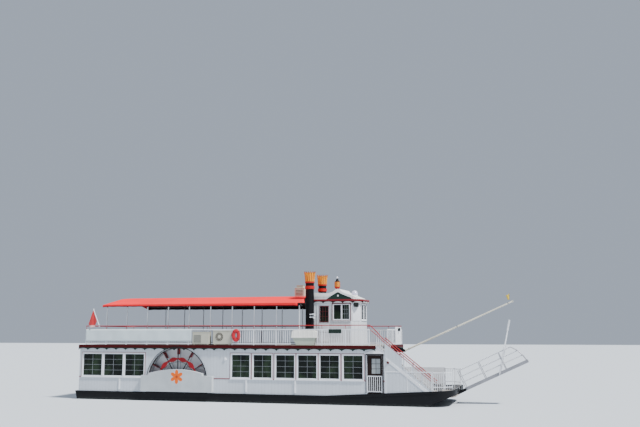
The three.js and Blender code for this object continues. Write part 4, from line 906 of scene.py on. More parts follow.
# Roof vent
# A beige sheet-metal box stands on the awning's ridge, ahead of its middle, with a smaller cap.
# Louvres are pressed into its sides, and the cap keeps the rain out of its top.
VENT = {"aft": -0.2, "front": 0.4, "half": 0.3, "top": 7.44, "cap": 7.62, "louvre": 7.02, "pitch": 0.09}
unit_beige = enamel("unit_beige", (0.52, 0.48, 0.38), 0.5)
vent_shade = enamel("vent_shade", (0.05, 0.045, 0.035), 0.6)
dress(unit_beige, "roof_vent")
louvres, gaps = bmesh.new(), bmesh.new()
for side in (-1, 1):
    y = side * VENT["half"]
    for k in range(4):
        z = VENT["louvre"] + VENT["pitch"] * k
        block(gaps, -0.12, 0.32, y - 0.003, y + 0.003, z, z + 0.035)
        block(louvres, -0.13, 0.33, *sorted((y, y + side * 0.02)), z + 0.03, z + 0.042)
top, cap = VENT["top"], VENT["cap"]
lips = blocks((VENT["aft"] - 0.015, VENT["front"] + 0.015, -0.315, 0.315, top - 0.012, top + 0.012),
              (-0.13, 0.33, -0.23, 0.23, cap - 0.012, cap))
settle("vent_louvres", [made(louvres, unit_beige), made(lips, unit_beige, 0.003), made(gaps, vent_shade)],
       smooth=False)

# Funnels
# Each is a rolled steel tube painted black, with seams, a flange on the deck and two red bands.
# Its crown is a ring of pointed yellow plates with red edges, leaning outwards.
DECK = 4.022  # the upper deck's top, with the gap that two solids keep
FUNNEL = {"x": 1.09, "y": 1.42, "radius": 0.25, "crown": 7.76, "top": 8.36, "plates": 16}
funnel_black = enamel("funnel_black", (0.005, 0.005, 0.007), 0.5, coat=0.0, grain=20, specular=0.15)
crown_red = enamel("crown_red", (0.42, 0.010, 0.006), 0.5)
crown_yellow = enamel("crown_yellow", (0.95, 0.40, 0.010), 0.55)
tip_shade = crown_yellow.between(crown_yellow.noise(6, 3, (2, 2, 0.8)), 0.45, 0.7, 0, 0.8)
crown_yellow.stain(tip_shade, (0.80, 0.20, 0.02))


def crown_plate(half, low, high, tip, proud, thick):
    """One upright plate of the crown, bent to its lean, with a pointed top."""
    levels = [low + (high - low) * k / 5 for k in range(6)]
    work = bmesh.new()
    rings = []
    for z in levels + [tip]:
        width = half * (1 - 0.12 * (z - low) / (tip - low)) if z < tip else 0.004
        rise = (z - FUNNEL["crown"]) / (FUNNEL["top"] - FUNNEL["crown"])
        r = 0.280 + 0.026 * rise + 0.045 * rise * rise + proud
        spots = ((r, -width), (r, width), (r - thick, width), (r - thick, -width))
        rings.append([work.verts.new((x, y, z)) for x, y in spots])
    for a, b in zip(rings, rings[1:]):
        bridge(work, a, b)
    work.faces.new(rings[0][::-1])
    work.faces.new(rings[-1])
    return work


def funnel_meshes(x, y):
    r = FUNNEL["radius"]
    tube = [(0.29, DECK), (0.30, DECK + 0.012), (0.30, 4.05), (r + 0.005, 4.07), (r, 4.10), (r, 7.62),
            (r + 0.01, 7.64), (r + 0.01, 7.76), (0.22, 7.76), (0.21, 7.70), (0.21, 5.2), (0.05, 5.1)]
    pieces = [made(fresh(lathe, tube, x, y, 40), funnel_black)]
    for low, high in ((7.30, 7.48), (7.655, 7.75)):
        band = [(r, low), (r + 0.026, low), (r + 0.038, low + 0.012), (r + 0.038, high - 0.012),
                (r + 0.026, high), (r, high)]
        pieces.append(made(fresh(lathe, band, x, y, 40), crown_red))
    for z in (4.9, 5.8, 6.7):
        seam = [(r - 0.01, z - 0.02), (r + 0.003, z - 0.02), (r + 0.006, z), (r + 0.003, z + 0.02),
                (r - 0.01, z + 0.02)]
        pieces.append(made(fresh(lathe, seam, x, y, 40), funnel_black))
    back = made(crown_plate(0.053, 7.74, 8.22, 8.355, 0.0, 0.010), trim_red)
    front = made(crown_plate(0.035, 7.75, 8.20, 8.32, 0.004, 0.018), crown_yellow)
    return pieces + [ring(plate, FUNNEL["plates"], (x, y, 0), (0, 0, 1)) for plate in (back, front)]


for side, word in ((-1, "starboard"), (1, "port")):
    settle(f"funnel_pipe_{word}", funnel_meshes(FUNNEL["x"], side * FUNNEL["y"]),
           hides=(f"funnel_{word}",))

# Stair
# A white painted wooden stair climbs from the foredeck to the upper deck, boarded in underneath.
# It has two red handrails of round tube on each side, and pickets over its boarded side.
STAIR = {"top": 5.35, "foot": 8.70, "risers": 12, "high": 4.02, "low": 1.30}
STAIR["fall"] = (STAIR["high"] - STAIR["low"]) / (STAIR["foot"] - STAIR["top"])
PICKET = {"outer": -2.944, "inner": -2.926, "half": 0.011, "pitch": 0.132}


def nosing(x):
    return STAIR["high"] - STAIR["fall"] * (x - STAIR["top"])


tubes = bmesh.new()
for y, end in ((-2.935, 8.425), (-2.035, 8.64)):
    for over, radius in ((0.72, 0.0265), (0.58, 0.021)):
        pipe(tubes, [(x, y, nosing(x) + over) for x in (5.70, end)], radius, 10)
for start, bend, over, radius in ((5.14, 4.80, 0.72, 0.024), (4.90, 4.62, 0.58, 0.019)):
    pipe(tubes, [(5.05, -2.97, start), (5.40, -2.95, bend), (5.71, -2.937, nosing(5.71) + over)], radius, 10)
settle("stair_handrails", [made(tubes, rail_red)])

treads = bmesh.new()
going = (STAIR["foot"] - STAIR["top"]) / STAIR["risers"]
tread_wood = enamel("tread_wood", (0.20, 0.17, 0.14), 0.7)
for step in range(1, STAIR["risers"]):
    x = STAIR["top"] + step * going
    z = STAIR["high"] - step * (STAIR["high"] - STAIR["low"]) / STAIR["risers"]
    block(treads, x - going + 0.01, x + 0.022, -2.858, -2.062, z + 0.003, z + 0.009)
picket = fresh(block, 6.93, 6.952, PICKET["outer"], PICKET["inner"], nosing(6.94) - 0.02, nosing(6.94) + 0.60)
pickets = row(made(picket, rail_white), 11, (PICKET["pitch"], 0, -PICKET["pitch"] * STAIR["fall"]))
upper_pickets = blocks((5.40, 6.22, -2.946, -2.924, 3.60, 3.64))
for k in range(8):
    x = 5.42 + 0.11 * k
    block(upper_pickets, x - PICKET["half"], x + PICKET["half"], PICKET["outer"], PICKET["inner"], 3.64,
          nosing(x) + 0.56)
board = blocks((5.86, 8.45, -2.964, SEAT, 2.575, 2.625), (5.86, 8.45, -2.968, SEAT, 1.31, 1.40),
               *[(x, x + 0.05, -2.962, SEAT, 1.31, 2.60) for x in (5.87, 7.05, 8.40)])
slab(board, [(5.90, 3.40), (5.90, 3.22), (8.30, 1.33), (8.45, 1.33), (8.45, 1.42)], -2.966, SEAT)
settle("stair_trim", [made(treads, tread_wood), pickets, made(upper_pickets, rail_white),
                      made(board, rail_white, 0.003)], smooth=False)

# Lamps and battens on the starboard side
# A red lamp is screwed to the stair's boarded side, and a white one to the deckhouse wall.
# Three short white battens of painted wood are screwed to the wall's foot.
SIDE_LAMP = [(0.06, SEAT), (0.075, -2.955), (0.075, -2.97), (0.06, -2.985), (0.04, -3.0), (0.015, -3.006)]
WALL_LAMP = [(0.05, SEAT), (0.09, -2.952), (0.095, -2.968), (0.085, -2.985), (0.06, -3.0), (0.02, -3.008)]
lamp_red = enamel("lamp_red", (0.11, 0.03, 0.03), 0.3)
settle("side_lamp", [made(fresh(lathe, SIDE_LAMP, 6.03, 3.10, 16, "Y"), lamp_red)])
wall_lamp = fresh(lathe, WALL_LAMP, -3.60, 3.20, 20, "Y")
block(wall_lamp, -3.64, -3.56, -2.99, SEAT, 3.29, 3.33)
battens = blocks(*[(x - 0.05, x + 0.05, -2.99, SEAT, 1.36, 2.02) for x in (-10.42, -2.28, 0.68)])
settle("wall_fittings", [made(wall_lamp, window_white), made(battens, window_white, 0.01)],
       smooth=False)

# Foredeck
# White railings with square pickets follow the deck's edge to the bow on both sides.
# Each post has a small square cap, and a thin bar runs along the pickets' foot.
CORNERS = [(8.50, -2.932), (9.06, -2.76), (9.48, -2.26)]
BOW_RAIL = {"pitch": 0.125, "foot": 1.35, "bar": 1.40, "top": 2.56}
CAP = {"half": 0.032, "foot": 2.60, "top": 2.625}
feet = bmesh.new()
rail_pieces = []
for (x0, y0), (x1, y1) in zip(CORNERS, CORNERS[1:]):
    count = round(math.hypot(x1 - x0, y1 - y0) / BOW_RAIL["pitch"])
    step = ((x1 - x0) / count, (y1 - y0) / count, 0)
    x, y, half = x0 + step[0], y0 + step[1], PICKET["half"]
    bar = fresh(block, x - half, x + half, y - half, y + half, BOW_RAIL["foot"], BOW_RAIL["top"])
    rail_pieces.append(row(made(bar, rail_white), count - 1, step))
    pipe(feet, [(x0, y0, BOW_RAIL["bar"]), (x1, y1, BOW_RAIL["bar"])], 0.016, 8)
half, low, high = CAP.values()
caps = blocks(*[(x - half, x + half, y - half, y + half, low, high) for x, y in CORNERS])
rail_pieces += [made(feet, rail_white), made(caps, rail_white, 0.004)]
settle("foredeck_pickets", both(rail_pieces), smooth=False)

# Winch and bitts
# A small hand winch of bare steel for the boom's fall is bolted to the foredeck, with rope on its drum.
# The bitts and the brackets of boom and gangway are welded steel, painted black.
WINCH = {"x": 8.5, "z": 1.64, "drum": 0.112, "rope": 0.014, "half": 0.22}
bare_steel = Finish("bare_steel", (0.42, 0.43, 0.44), 0.4, metallic=0.9)
bare_steel.drift(2.0, 0.3, dark=0.6)
bare_steel.rough(0.3, 0.55, 6)
bare_steel.bump(bare_steel.noise(60), 0.0005)
dress(bare_steel, "bow_winch")
dress(hull_black, "boom_bracket", "gangway_bracket", "mooring_bitts")
turns = [(WINCH["drum"] + WINCH["rope"] * (k % 2), -WINCH["half"] + 0.0147 * (k + 0.5)) for k in range(30)]
turns = [(WINCH["drum"], -WINCH["half"])] + turns + [(WINCH["drum"], WINCH["half"])]
winding = fresh(lathe, turns, WINCH["x"], WINCH["z"], 24, "Y")
flanges = bmesh.new()
for y in (-0.225, 0.215):
    lathe(flanges, [(0.10, y - 0.006), (0.17, y - 0.006), (0.175, y), (0.17, y + 0.006), (0.10, y + 0.006)],
          WINCH["x"], WINCH["z"], 24, "Y")
x, z = WINCH["x"], WINCH["z"]
grip_x, grip_z = x + 0.12, z + 0.16
pipe(flanges, [(x, 0.30, z), (x, 0.36, z), (grip_x, 0.36, grip_z)], 0.014, 8)
pipe(flanges, [(grip_x, 0.34, grip_z), (grip_x, 0.50, grip_z)], 0.018, 8)
fall_rope = enamel("fall_rope", (0.30, 0.26, 0.18), 0.8)
settle("winch_rope", [made(winding, fall_rope), made(flanges, bare_steel)])

# Pilothouse
# White boarded walls with corner boards, on the upper deck behind the stair.
# The door has a brown glazed upper half, and the window beside it has red-brown casings and two sashes.
PILOT = {"aft": 1.285, "front": 3.56, "nose": 4.05, "half": 1.15, "nose_half": 0.80, "head": 6.515}
FACE = -1.149  # 1 mm inside the wall's outer face
TRIM = {"corner": -1.164, "plinth": -1.162, "belt": -1.160, "casing": -1.168}  # outer faces of its boards
CORNER = (1.36, 3.495)  # where the after and the front corner boards end
DOOR_CASING = {"aft": 1.44, "inner": 1.50, "front": 2.34, "foot": 6.36, "head": 6.42}
PLINTH = (DECK, 4.16)
PILOT_BELT = (5.20, 5.25)
LIGHT = (5.50, 6.40)  # foot and head of the windows
pilot_sides = boards("pilot_sides", (0.68, 0.70, 0.73), "X", 0.15)
pilot_ends = boards("pilot_ends", (0.68, 0.70, 0.73), "Y", 0.15)
dress(pilot_sides, "pilothouse_wall_starboard", "pilothouse_wall_port", "pilothouse_door")
dress(pilot_ends, "pilothouse_wall_aft", "pilothouse_wall_front")
frame_brown = enamel("frame_brown", (0.11, 0.012, 0.014), 0.5)


def laid(mesh, start, end):
    """Moves a mesh drawn along +X from 0, with its outside towards -Y, onto the line from start to end."""
    turn = math.atan2(end[1] - start[1], end[0] - start[0])
    mesh.transform(Matrix.Translation((start[0], start[1], 0)) @ Matrix.Rotation(turn, 4, "Z"))
    return mesh


aft, nose, head = PILOT["aft"], PILOT["nose"], PILOT["head"]
corner, plinth, belt, casing = ((face, FACE) for face in TRIM.values())
door_aft, door_inner, door_front, door_foot, door_head = DOOR_CASING.values()
posts = [(x0, x1, *corner, DECK, head)
         for x0, x1 in ((aft - 0.012, CORNER[0]), (CORNER[1], PILOT["front"] + 0.004))]
starboard_trim = blocks(
    *posts, (CORNER[0], door_inner, *plinth, *PLINTH), (2.30, CORNER[1], *plinth, *PLINTH),
    (2.31, CORNER[1], *belt, *PILOT_BELT), (door_aft, door_inner, *casing, PLINTH[1], door_foot),
    (door_aft, door_front, *casing, door_foot, door_head))
port_trim = blocks(*posts, (*CORNER, *plinth, *PLINTH), (*CORNER, *belt, *PILOT_BELT))
end_trim = blocks(
    *[(aft - 0.014, aft + 0.002, y, y + 0.07, DECK, head) for y in (-1.15, 1.08)],
    (aft - 0.012, aft + 0.002, -1.08, 1.08, *PLINTH),
    *[(nose - 0.002, nose + 0.014, y, y + 0.06, DECK, head) for y in (-0.80, 0.74)])
trim = [made(work, window_white, 0.003) for work in (starboard_trim, port_trim, end_trim)]
trim[1] = mirrored(trim[1])
settle("pilothouse_trim", trim, smooth=False)

double = window("side", 2.46, 3.44, *LIGHT, -PILOT["half"], -1, 2, 1, 0.03, frame_brown, 0.055)
mullion = fresh(block, 2.925, 3.005, -1.162, -1.115, *LIGHT)
thin_bars = blocks(*[(x, x + 0.014, -1.142, -1.130, 5.54, 6.36) for x in (3.15, 3.28)],
                   *[(3.01, 3.40, -1.141, -1.131, z, z + 0.014) for z in (5.83, 6.10)])
rim = fresh(surround, "side", 2.42, 3.50, 5.47, 6.42, 0.05, -1.178, -1.148)
shoulder = [(PILOT["front"], -PILOT["half"]), (PILOT["nose"], -PILOT["nose_half"])]
middle = math.dist(*shoulder) / 2
blind = made(fresh(block, middle - 0.24, middle + 0.24, -0.016, 0.012, 5.42, 6.46), window_white, 0.003)
double += [made(thin_bars, bar_grey), made(rim, frame_brown, 0.003), made(mullion, window_white)]
windows = both(double + [laid(blind, *shoulder)])
small = window("side", 1.6, 2.2, *LIGHT, -PILOT["half"], -1, 2, 3, 0.03, frame_brown, 0.055)
windows += [mirrored(mesh) for mesh in small]
windows += window("end", -0.70, 0.70, *LIGHT, PILOT["aft"], -1, 4, 2, 0.03, frame_brown, 0.055)
for low in (-0.68, 0.06):
    windows += window("end", low, low + 0.62, *LIGHT, PILOT["nose"], 1, 1, 1, 0.03, frame_brown, 0.04)
settle("pilothouse_windows", windows, smooth=False)

PILOT_LIGHT = (1.66, 2.14, 5.39, 6.27)  # aft, front, foot and head of the door's window
KNOB = [(0.012, FACE), (0.012, -1.175), (0.024, -1.180), (0.024, -1.195), (0.008, -1.20)]
leaf = fresh(surround, "side", *PILOT_LIGHT, 0.045, -1.166, FACE)
bars = fresh(grid, "side", *PILOT_LIGHT, 3, 3, 0.018, -1.158, -1.130)
pane = glazed(PILOT_LIGHT, -1.140, -1.134)
panels = blocks(*[(1.60, 2.20, -1.158, FACE, z, z + 0.48) for z in (4.22, 4.78)])
knob = fresh(lathe, KNOB, 1.57, 5.05, 12, "Y")
door = [made(leaf, frame_brown, 0.003), made(bars, frame_brown), made(pane, pane_glass),
        made(panels, window_white, 0.004), made(knob, bare_steel)]
settle("pilothouse_door_panels", door, body="pilothouse_door", smooth=False)

# Pilothouse roof
# A wooden roof covered with white painted canvas, with an ogee gable over each side and a red fascia.
# Maroon scalloped boards hang under the fascia, and the gables have dark green boards in white frames.
ROOF = {"aft": 1.26, "side": 3.64, "front": 4.20, "half": 1.20, "nose_half": 0.85}
FASCIA = {"past": 0.006, "face": -0.016, "back": 0.002, "foot": 6.60, "top": 6.70}
SCALLOPS = {"pitch": 0.60, "top": 6.61, "arch": 6.565, "foot": 6.47}
roof_white = Finish("roof_white", (0.88, 0.87, 0.85), 0.6)
roof_white.drift(1.2, 0.14, dark=0.8)
grime = roof_white.between(roof_white.noise(9, 4, (1, 1, 0.4)), 0.58, 0.72, 0, 0.35)
roof_white.stain(grime, (0.42, 0.42, 0.38))
roof_white.bump(roof_white.noise(30), 0.001)
gable_green = enamel("gable_green", (0.007, 0.026, 0.019), 0.5)
scallop_black = enamel("scallop_black", (0.012, 0.014, 0.014), 0.45)
eave_maroon = enamel("eave_maroon", (0.030, 0.004, 0.006), 0.5)
dress(roof_white, "pilothouse_roof")
PLAN = [(ROOF["aft"], -ROOF["half"]), (ROOF["side"], -ROOF["half"]), (ROOF["front"], -ROOF["nose_half"]),
        (ROOF["front"], ROOF["nose_half"]), (ROOF["side"], ROOF["half"]), (ROOF["aft"], ROOF["half"])]
eaves = []
for start, end in zip(PLAN, PLAN[1:] + PLAN[:1]):
    length = math.dist(start, end)
    past, *section = FASCIA.values()
    fascia = fresh(block, -past, length + past, *section)
    drops = fresh(slab, arches(0.0, length, *SCALLOPS.values()), -0.008, FASCIA["back"])
    eaves += [laid(made(fascia, trim_red, 0.003), start, end), laid(made(drops, eave_maroon), start, end)]
settle("roof_eaves", eaves, smooth=False)

OGEE = [(1.27, 7.085), (2.18, 7.055), (2.43, 7.135), (2.66, 7.285), (2.86, 7.285), (2.96, 7.165),
        (3.16, 7.045), (3.53, 6.935), (3.90, 6.79)]
SLOPES = [(3.24, 6.90), (3.0, 7.0), (2.76, 7.13), (2.60, 7.05), (2.40, 6.93)]  # under the ogee's white frame
FOOT = [(3.53, 6.80), *SLOPES, (2.20, 6.86), (1.27, 6.86)]
TYMPANUM = [(2.05, 6.70), (3.62, 6.70), (3.50, 6.80), *SLOPES, (2.20, 6.80)]
DIAMOND = [(2.70, 6.90), (2.76, 6.84), (2.82, 6.90), (2.76, 6.98)]
gable_side = [made(fresh(slab, OGEE + FOOT, -1.226, -1.198), roof_white, 0.004),
              made(fresh(slab, TYMPANUM, -1.210, -1.199), gable_green),
              made(fresh(slab, DIAMOND, -1.218, -1.208), roof_white)]
settle("roof_gables", both(gable_side), smooth=False)

# Lamps and horns on the pilothouse
# A pale domed lamp stands on the roof, and a round black lamp hangs under its eave on the starboard shoulder.
# Two white trumpet horns are bolted to a bracket on the after wall.
DOME = [(0.17, 6.96), (0.184, 7.02), (0.184, 7.08), (0.165, 7.15), (0.132, 7.21), (0.08, 7.25), (0.02, 7.264)]
REST = [(0.19, 6.90), (0.20, 6.92), (0.20, 6.97), (0.16, 6.975)]
EAVE_LAMP = [(0.06, 3.68), (0.115, 3.70), (0.125, 3.74), (0.125, 3.93), (0.135, 3.94), (0.135, 3.965),
             (0.11, 3.968)]
lens = Finish("dome_lens", (0.62, 0.60, 0.78), 0.18, coat=0.4)
lens.drift(3, 0.2, dark=0.7)
lens.bump(lens.noise(12, 2), 0.001)
lamp = fresh(lathe, EAVE_LAMP, -1.06, 6.36, 24, "X")
pipe(lamp, [(3.83, -1.06, 6.46), (3.83, -1.06, 6.53)], 0.016, 8)
horns = bmesh.new()
for z, mouth in ((5.80, 1.48), (5.64, 1.44)):
    horn = [(0.026, 1.22), (0.030, 1.27), (0.042, 1.34), (0.072, mouth - 0.03), (0.088, mouth),
            (0.082, mouth - 0.002), (0.024, 1.33)]
    lathe(horns, horn, -1.70, z, 20, "X")
    block(horns, 1.17, 1.22, -1.74, -1.635, z - 0.03, z + 0.03)
settle("roof_lights", [made(fresh(lathe, DOME, 3.5), lens), made(fresh(lathe, REST, 3.5), roof_white),
                       made(lamp, scallop_black), made(horns, window_white)])

# Roof finial
# A turned red base carries a gilded drum with ribs, under a black dome with a white ball on top.
# It is spun sheet metal, screwed to a block on the roof.
gilt = Finish("gilt", (0.85, 0.36, 0.02), 0.32, coat=0.3)
gilt.drift(6, 0.3, (1, 1, 0.4), 0.7)
gilt.bump(gilt.noise(25, 2), 0.001)
FINIAL = 2.42  # its place along the boat
BALL = {"z": 8.063, "radius": 0.058}
bows = [(BALL["radius"] * math.sin(t), BALL["z"] - BALL["radius"] * math.cos(t))
        for t in (math.pi * k / 10 for k in range(1, 10))]
TURNED = [  # finish, sides, profile
    (crown_red, 28, [(0.085, 7.362), (0.10, 7.38), (0.15, 7.42), (0.155, 7.455), (0.178, 7.465),
                     (0.178, 7.49), (0.10, 7.495)]),
    (gilt, 28, [(0.10, 7.488), (0.160, 7.49), (0.164, 7.62), (0.160, 7.80), (0.10, 7.802)]),
    (funnel_black, 28, [(0.10, 7.798), (0.168, 7.80), (0.168, 7.815), (0.115, 7.84), (0.085, 7.89),
                        (0.075, 7.94), (0.045, 7.985), (0.028, 8.01)]),
    (window_white, 20, [(0.02, 8.003), *bows, (0.006, 8.122)]),
]
finial = [made(fresh(lathe, profile, FINIAL, 0, sides), paint) for paint, sides, profile in TURNED]
rib = fresh(pipe, [(0.162, 0, 7.492), (0.166, 0, 7.64), (0.162, 0, 7.80)], 0.013, 8)
finial.append(ring(made(rib, crown_red), 12, (FINIAL, 0, 0), (0, 0, 1)))
settle("finial", finial, hides=("roof_finial",))

# Helm
# A varnished console stands at the middle window, with a spoked wheel on its after side.
# The wheel is wood, with turned handles past its rim.
helm_wood = enamel("helm_wood", (0.16, 0.06, 0.02), 0.32)
HELM = {"x": 3.13, "z": 5.0, "radius": 0.30}
SPOKE = [(0.04, 0.014), (0.20, 0.018), (0.30, 0.012), (0.34, 0.012), (0.40, 0.017)]  # reach and radius
rim = [(HELM["x"], HELM["radius"] * c, HELM["z"] + HELM["radius"] * s) for c, s in circle(32)]
spoke = fresh(pipe, [(0, reach, 0) for reach, _ in SPOKE], [radius for _, radius in SPOKE], 8)
nave = fresh(lathe, [(0.03, 3.09), (0.06, 3.10), (0.06, 3.17), (0.03, 3.18)], 0.0, HELM["z"], 16, "X")
spokes = ring(made(spoke, helm_wood), 8, (HELM["x"], 0, HELM["z"]), (1, 0, 0))
rim = made(fresh(pipe, rim, 0.022, 8, True), helm_wood)
settle("helm_wheel", [rim, spokes, made(nave, bare_steel)])

# Units on the upper deck
# Two cooling units with pressed-metal cases stand at the starboard rail, bolted through feet to the deck.
# The after one has a louvred panel, and the forward one a round wire guard over its fan.
unit_case = enamel("unit_case", (0.50, 0.48, 0.39), 0.5, coat=0.0)
unit_grey = enamel("unit_grey", (0.36, 0.36, 0.31), 0.55, coat=0.0)
fan_dark = enamel("fan_dark", (0.09, 0.08, 0.07), 0.6, coat=0.0)
UNITS = [("aft", -5.70, -4.62, 4.79), ("forward", -4.39, -3.25, 4.87)]  # name, after end, front end, top
UNIT_BACK = -2.68
GRILLE = {"low": 4.14, "high": 4.62, "aft": 0.10, "front": 0.56, "slats": 11, "slat": 0.026}
FAN = {"x": -3.98, "z": 4.50, "radius": 0.25, "hub": 0.08, "wire": 0.004}


def grille_meshes(aft):
    ends = aft + GRILLE["aft"], aft + GRILLE["front"]
    # A thin dark sheet behind the slats is painted shade of the case's inside.
    inner_shade = fresh(block, *ends, -3.004, -2.99, GRILLE["low"], GRILLE["high"])
    slat = fresh(block, *ends, -3.014, -3.000, GRILLE["low"], GRILLE["low"] + GRILLE["slat"])
    step = (GRILLE["high"] - GRILLE["low"] - GRILLE["slat"]) / (GRILLE["slats"] - 1)
    return [made(inner_shade, fan_dark), row(made(slat, unit_grey), GRILLE["slats"], (0, 0, step))]


def fan_meshes():
    x, z, r, hub = FAN["x"], FAN["z"], FAN["radius"], FAN["hub"]
    disc = fresh(lathe, [(0.09, -3.003), (r, -3.003), (r, -2.99), (0.09, -2.99)], x, z, 32, "Y")
    guard = bmesh.new()
    for reach in (r * k / 5 for k in range(1, 6)):
        pipe(guard, [(x + reach * c, -3.010, z + reach * s) for c, s in circle(28)], FAN["wire"], 5, True)
    for c, s in circle(12):
        pipe(guard, [(x + hub * c, -3.008, z + hub * s), (x + r * c, -3.008, z + r * s)], FAN["wire"], 5)
    boss = [(0.02, -3.018), (0.085, -3.016), (0.095, -3.008), (0.095, -2.99), (0.02, -2.99)]
    lathe(guard, boss, x, z, 24, "Y")
    return [made(disc, fan_dark), made(guard, unit_case)]


for word, aft, front, top in UNITS:
    case = fresh(block, aft, front, -3.0, UNIT_BACK, 4.06, top - 0.03)
    feet = blocks((aft - 0.004, front + 0.004, -3.012, UNIT_BACK, top - 0.04, top),
                  *[(x, x + 0.08, -2.98, UNIT_BACK - 0.03, DECK, 4.065) for x in (aft + 0.08, front - 0.16)])
    pieces = [made(case, unit_case, 0.022), made(feet, unit_case, 0.006)]
    pieces += grille_meshes(aft) if word == "aft" else fan_meshes()
    settle(f"cooling_case_{word}", pieces, hides=(f"cooling_unit_{word}",), smooth=False)

# Raft box
# A moulded plastic tub, grey-green and narrowed to its foot, is bolted to the deck outside the rail's gap.
# Its cream lid is ribbed and overhangs the tub.
lid_cream = enamel("lid_cream", (0.92, 0.89, 0.82), 0.5)
tub_green = enamel("tub_green", (0.42, 0.46, 0.38), 0.55)
TUB = [(0.74, DECK), (1.76, DECK), (1.88, 4.46), (0.49, 4.46)]
LID = [(0.45, 4.50), (1.95, 4.50), (1.93, 4.78), (1.88, 4.845), (1.82, 4.865), (0.58, 4.865), (0.52, 4.845),
       (0.47, 4.78)]
rib = fresh(block, 0.60, 0.66, -3.018, -2.70, 4.50, 4.84)
pieces = [made(fresh(slab, TUB, -2.98, -2.72), tub_green, 0.012),
          made(fresh(slab, LID, -3.01, -2.69), lid_cream, 0.014),
          made(fresh(block, 0.44, 1.96, -3.02, -2.68, 4.45, 4.51), lid_cream, 0.006),
          row(made(rib, lid_cream, 0.006), 5, (0.28, 0, 0))]
settle("raft_case", pieces, hides=("raft_box",), smooth=False)

# Lifebuoy
# An oval ring of foam in a red skin hangs on the rail, with four darker straps sewn round it.
# A thin white grab line is tied round it through the straps.
BUOY = {"x": -2.915, "y": -3.045, "z": 4.585, "across": 0.165, "up": 0.26, "tube": 0.110, "flat": 0.55}


def buoy_arc(first, last, reach, radius, count, closed=False):
    work = bmesh.new()
    turns = [math.radians(first + (last - first) * k / count) for k in range(count if closed else count + 1)]
    path = [((BUOY["across"] + reach) * math.cos(t), 0, (BUOY["up"] + reach) * math.sin(t)) for t in turns]
    pipe(work, path, radius, 12, closed)
    for vert in work.verts:
        vert.co.y *= BUOY["flat"]
        vert.co += Vector((BUOY["x"], BUOY["y"], BUOY["z"]))
    return work


buoy_red = enamel("buoy_red", (0.52, 0.018, 0.030), 0.6, coat=0.0)
buoy_pieces = [made(buoy_arc(0, 360, 0, BUOY["tube"], 48, True), buoy_red)]
for middle in (45, 135, 225, 315):
    buoy_pieces.append(made(buoy_arc(middle - 6, middle + 6, 0, BUOY["tube"] + 0.004, 4), trim_red))
    buoy_pieces.append(made(buoy_arc(middle + 5, middle + 85, 0.105, 0.006, 12), window_white))
settle("lifebuoy_ring", buoy_pieces, hides=("lifebuoy",))

# Flagstaff and flag
# A white wooden staff leans aft from the starboard rail's after end.
# The flag is thin red cloth with a pale hem, hanging in folds from the staff's head.
STAFF = {"head": -12.380, "y": -2.97}
TRUCK = [(0.012, 6.145), (0.036, 6.155), (0.04, 6.175), (0.03, 6.195), (0.008, 6.203)]
fittings = fresh(lathe, TRUCK, STAFF["head"], STAFF["y"], 14)
for z in (4.30, 4.80, 5.10):
    block(fittings, -11.965, -11.905, -3.002, -2.946, z, z + 0.03)
settle("staff_fittings", [made(fittings, rail_white)])

flag_red = Finish("flag_red", (0.62, 0.012, 0.016), 0.75, sheen=0.3)
flag_red.drift(5, 0.3, (1, 1, 0.5), 0.6)
hem = flag_red.math("SUBTRACT", flag_red.axis("Z"), flag_red.math("MULTIPLY", flag_red.noise(3, 2), 0.16))
flag_red.stain(flag_red.between(hem, 5.06, 5.12, 1, 0), (0.72, 0.45, 0.43))
flag_red.bump(flag_red.noise(120, 2), 0.0004)
FLAG = {"head": (-12.372, 6.12), "y": -3.018, "columns": 36, "rows": 30, "fold": 0.040, "crease": 0.012}
FLAG_FOOT = [(-12.68, 5.26), (-12.52, 5.05), (-12.24, 5.09), (-12.085, 5.44)]


def flag_spot(i, j):
    u, v = i / FLAG["columns"], 0.03 + 0.97 * j / FLAG["rows"]
    leg = min(2, int(3 * u))
    share = 3 * u - leg
    foot_x, foot_z = ((1 - share) * a + share * b for a, b in zip(FLAG_FOOT[leg], FLAG_FOOT[leg + 1]))
    fold = FLAG["fold"] * v * math.sin(3.2 * math.pi * u + 1.2 * v)
    fold += FLAG["crease"] * v * math.sin(9 * math.pi * u)
    head_x, head_z = FLAG["head"]
    return head_x + (foot_x - head_x) * v, FLAG["y"] + fold * 0.55, head_z + (foot_z - head_z) * v


cloth = fresh(weave, FLAG["columns"], FLAG["rows"], flag_spot)
flag = settle("flag_cloth", [made(cloth, flag_red)], hides=("stern_flag",))
thicken(flag, 0.0012)

# Front board and lamp
# A white board closes part of the front railing, with a round black lamp on it.
# The board is painted sheet, screwed to the railing's posts.
BOARD = {"back": 5.846, "front": 5.870, "starboard": 0.45, "port": 2.45, "foot": 4.04, "top": 5.08}
EDGING = {"front": 5.880, "wide": 0.06}
FRONT_LAMP = [(0.05, 5.868), (0.09, 5.875), (0.105, 5.92), (0.105, 5.97), (0.115, 5.975),
              (0.115, 5.985), (0.09, 5.987)]
GLASS = [(0.09, 5.980), (0.09, 5.990), (0.05, 6.000), (0.01, 6.003)]
back, front, y0, y1, z0, z1 = BOARD.values()
proud, edge = EDGING.values()
board = blocks((back, front, y0, y1, z0, z1), *[(front, proud, y0, y1, z, z + edge) for z in (z0, z1 - edge)],
               *[(front, proud, y, y + edge, z0 + edge, z1 - edge) for y in (y0, y1 - edge)])
lamp, lens = (fresh(lathe, profile, 1.42, 4.93, 24, "X") for profile in (FRONT_LAMP, GLASS))
pieces = [made(board, rail_white, 0.003), made(lamp, scallop_black), made(lens, pane_glass)]
settle("front_board", pieces, smooth=False)

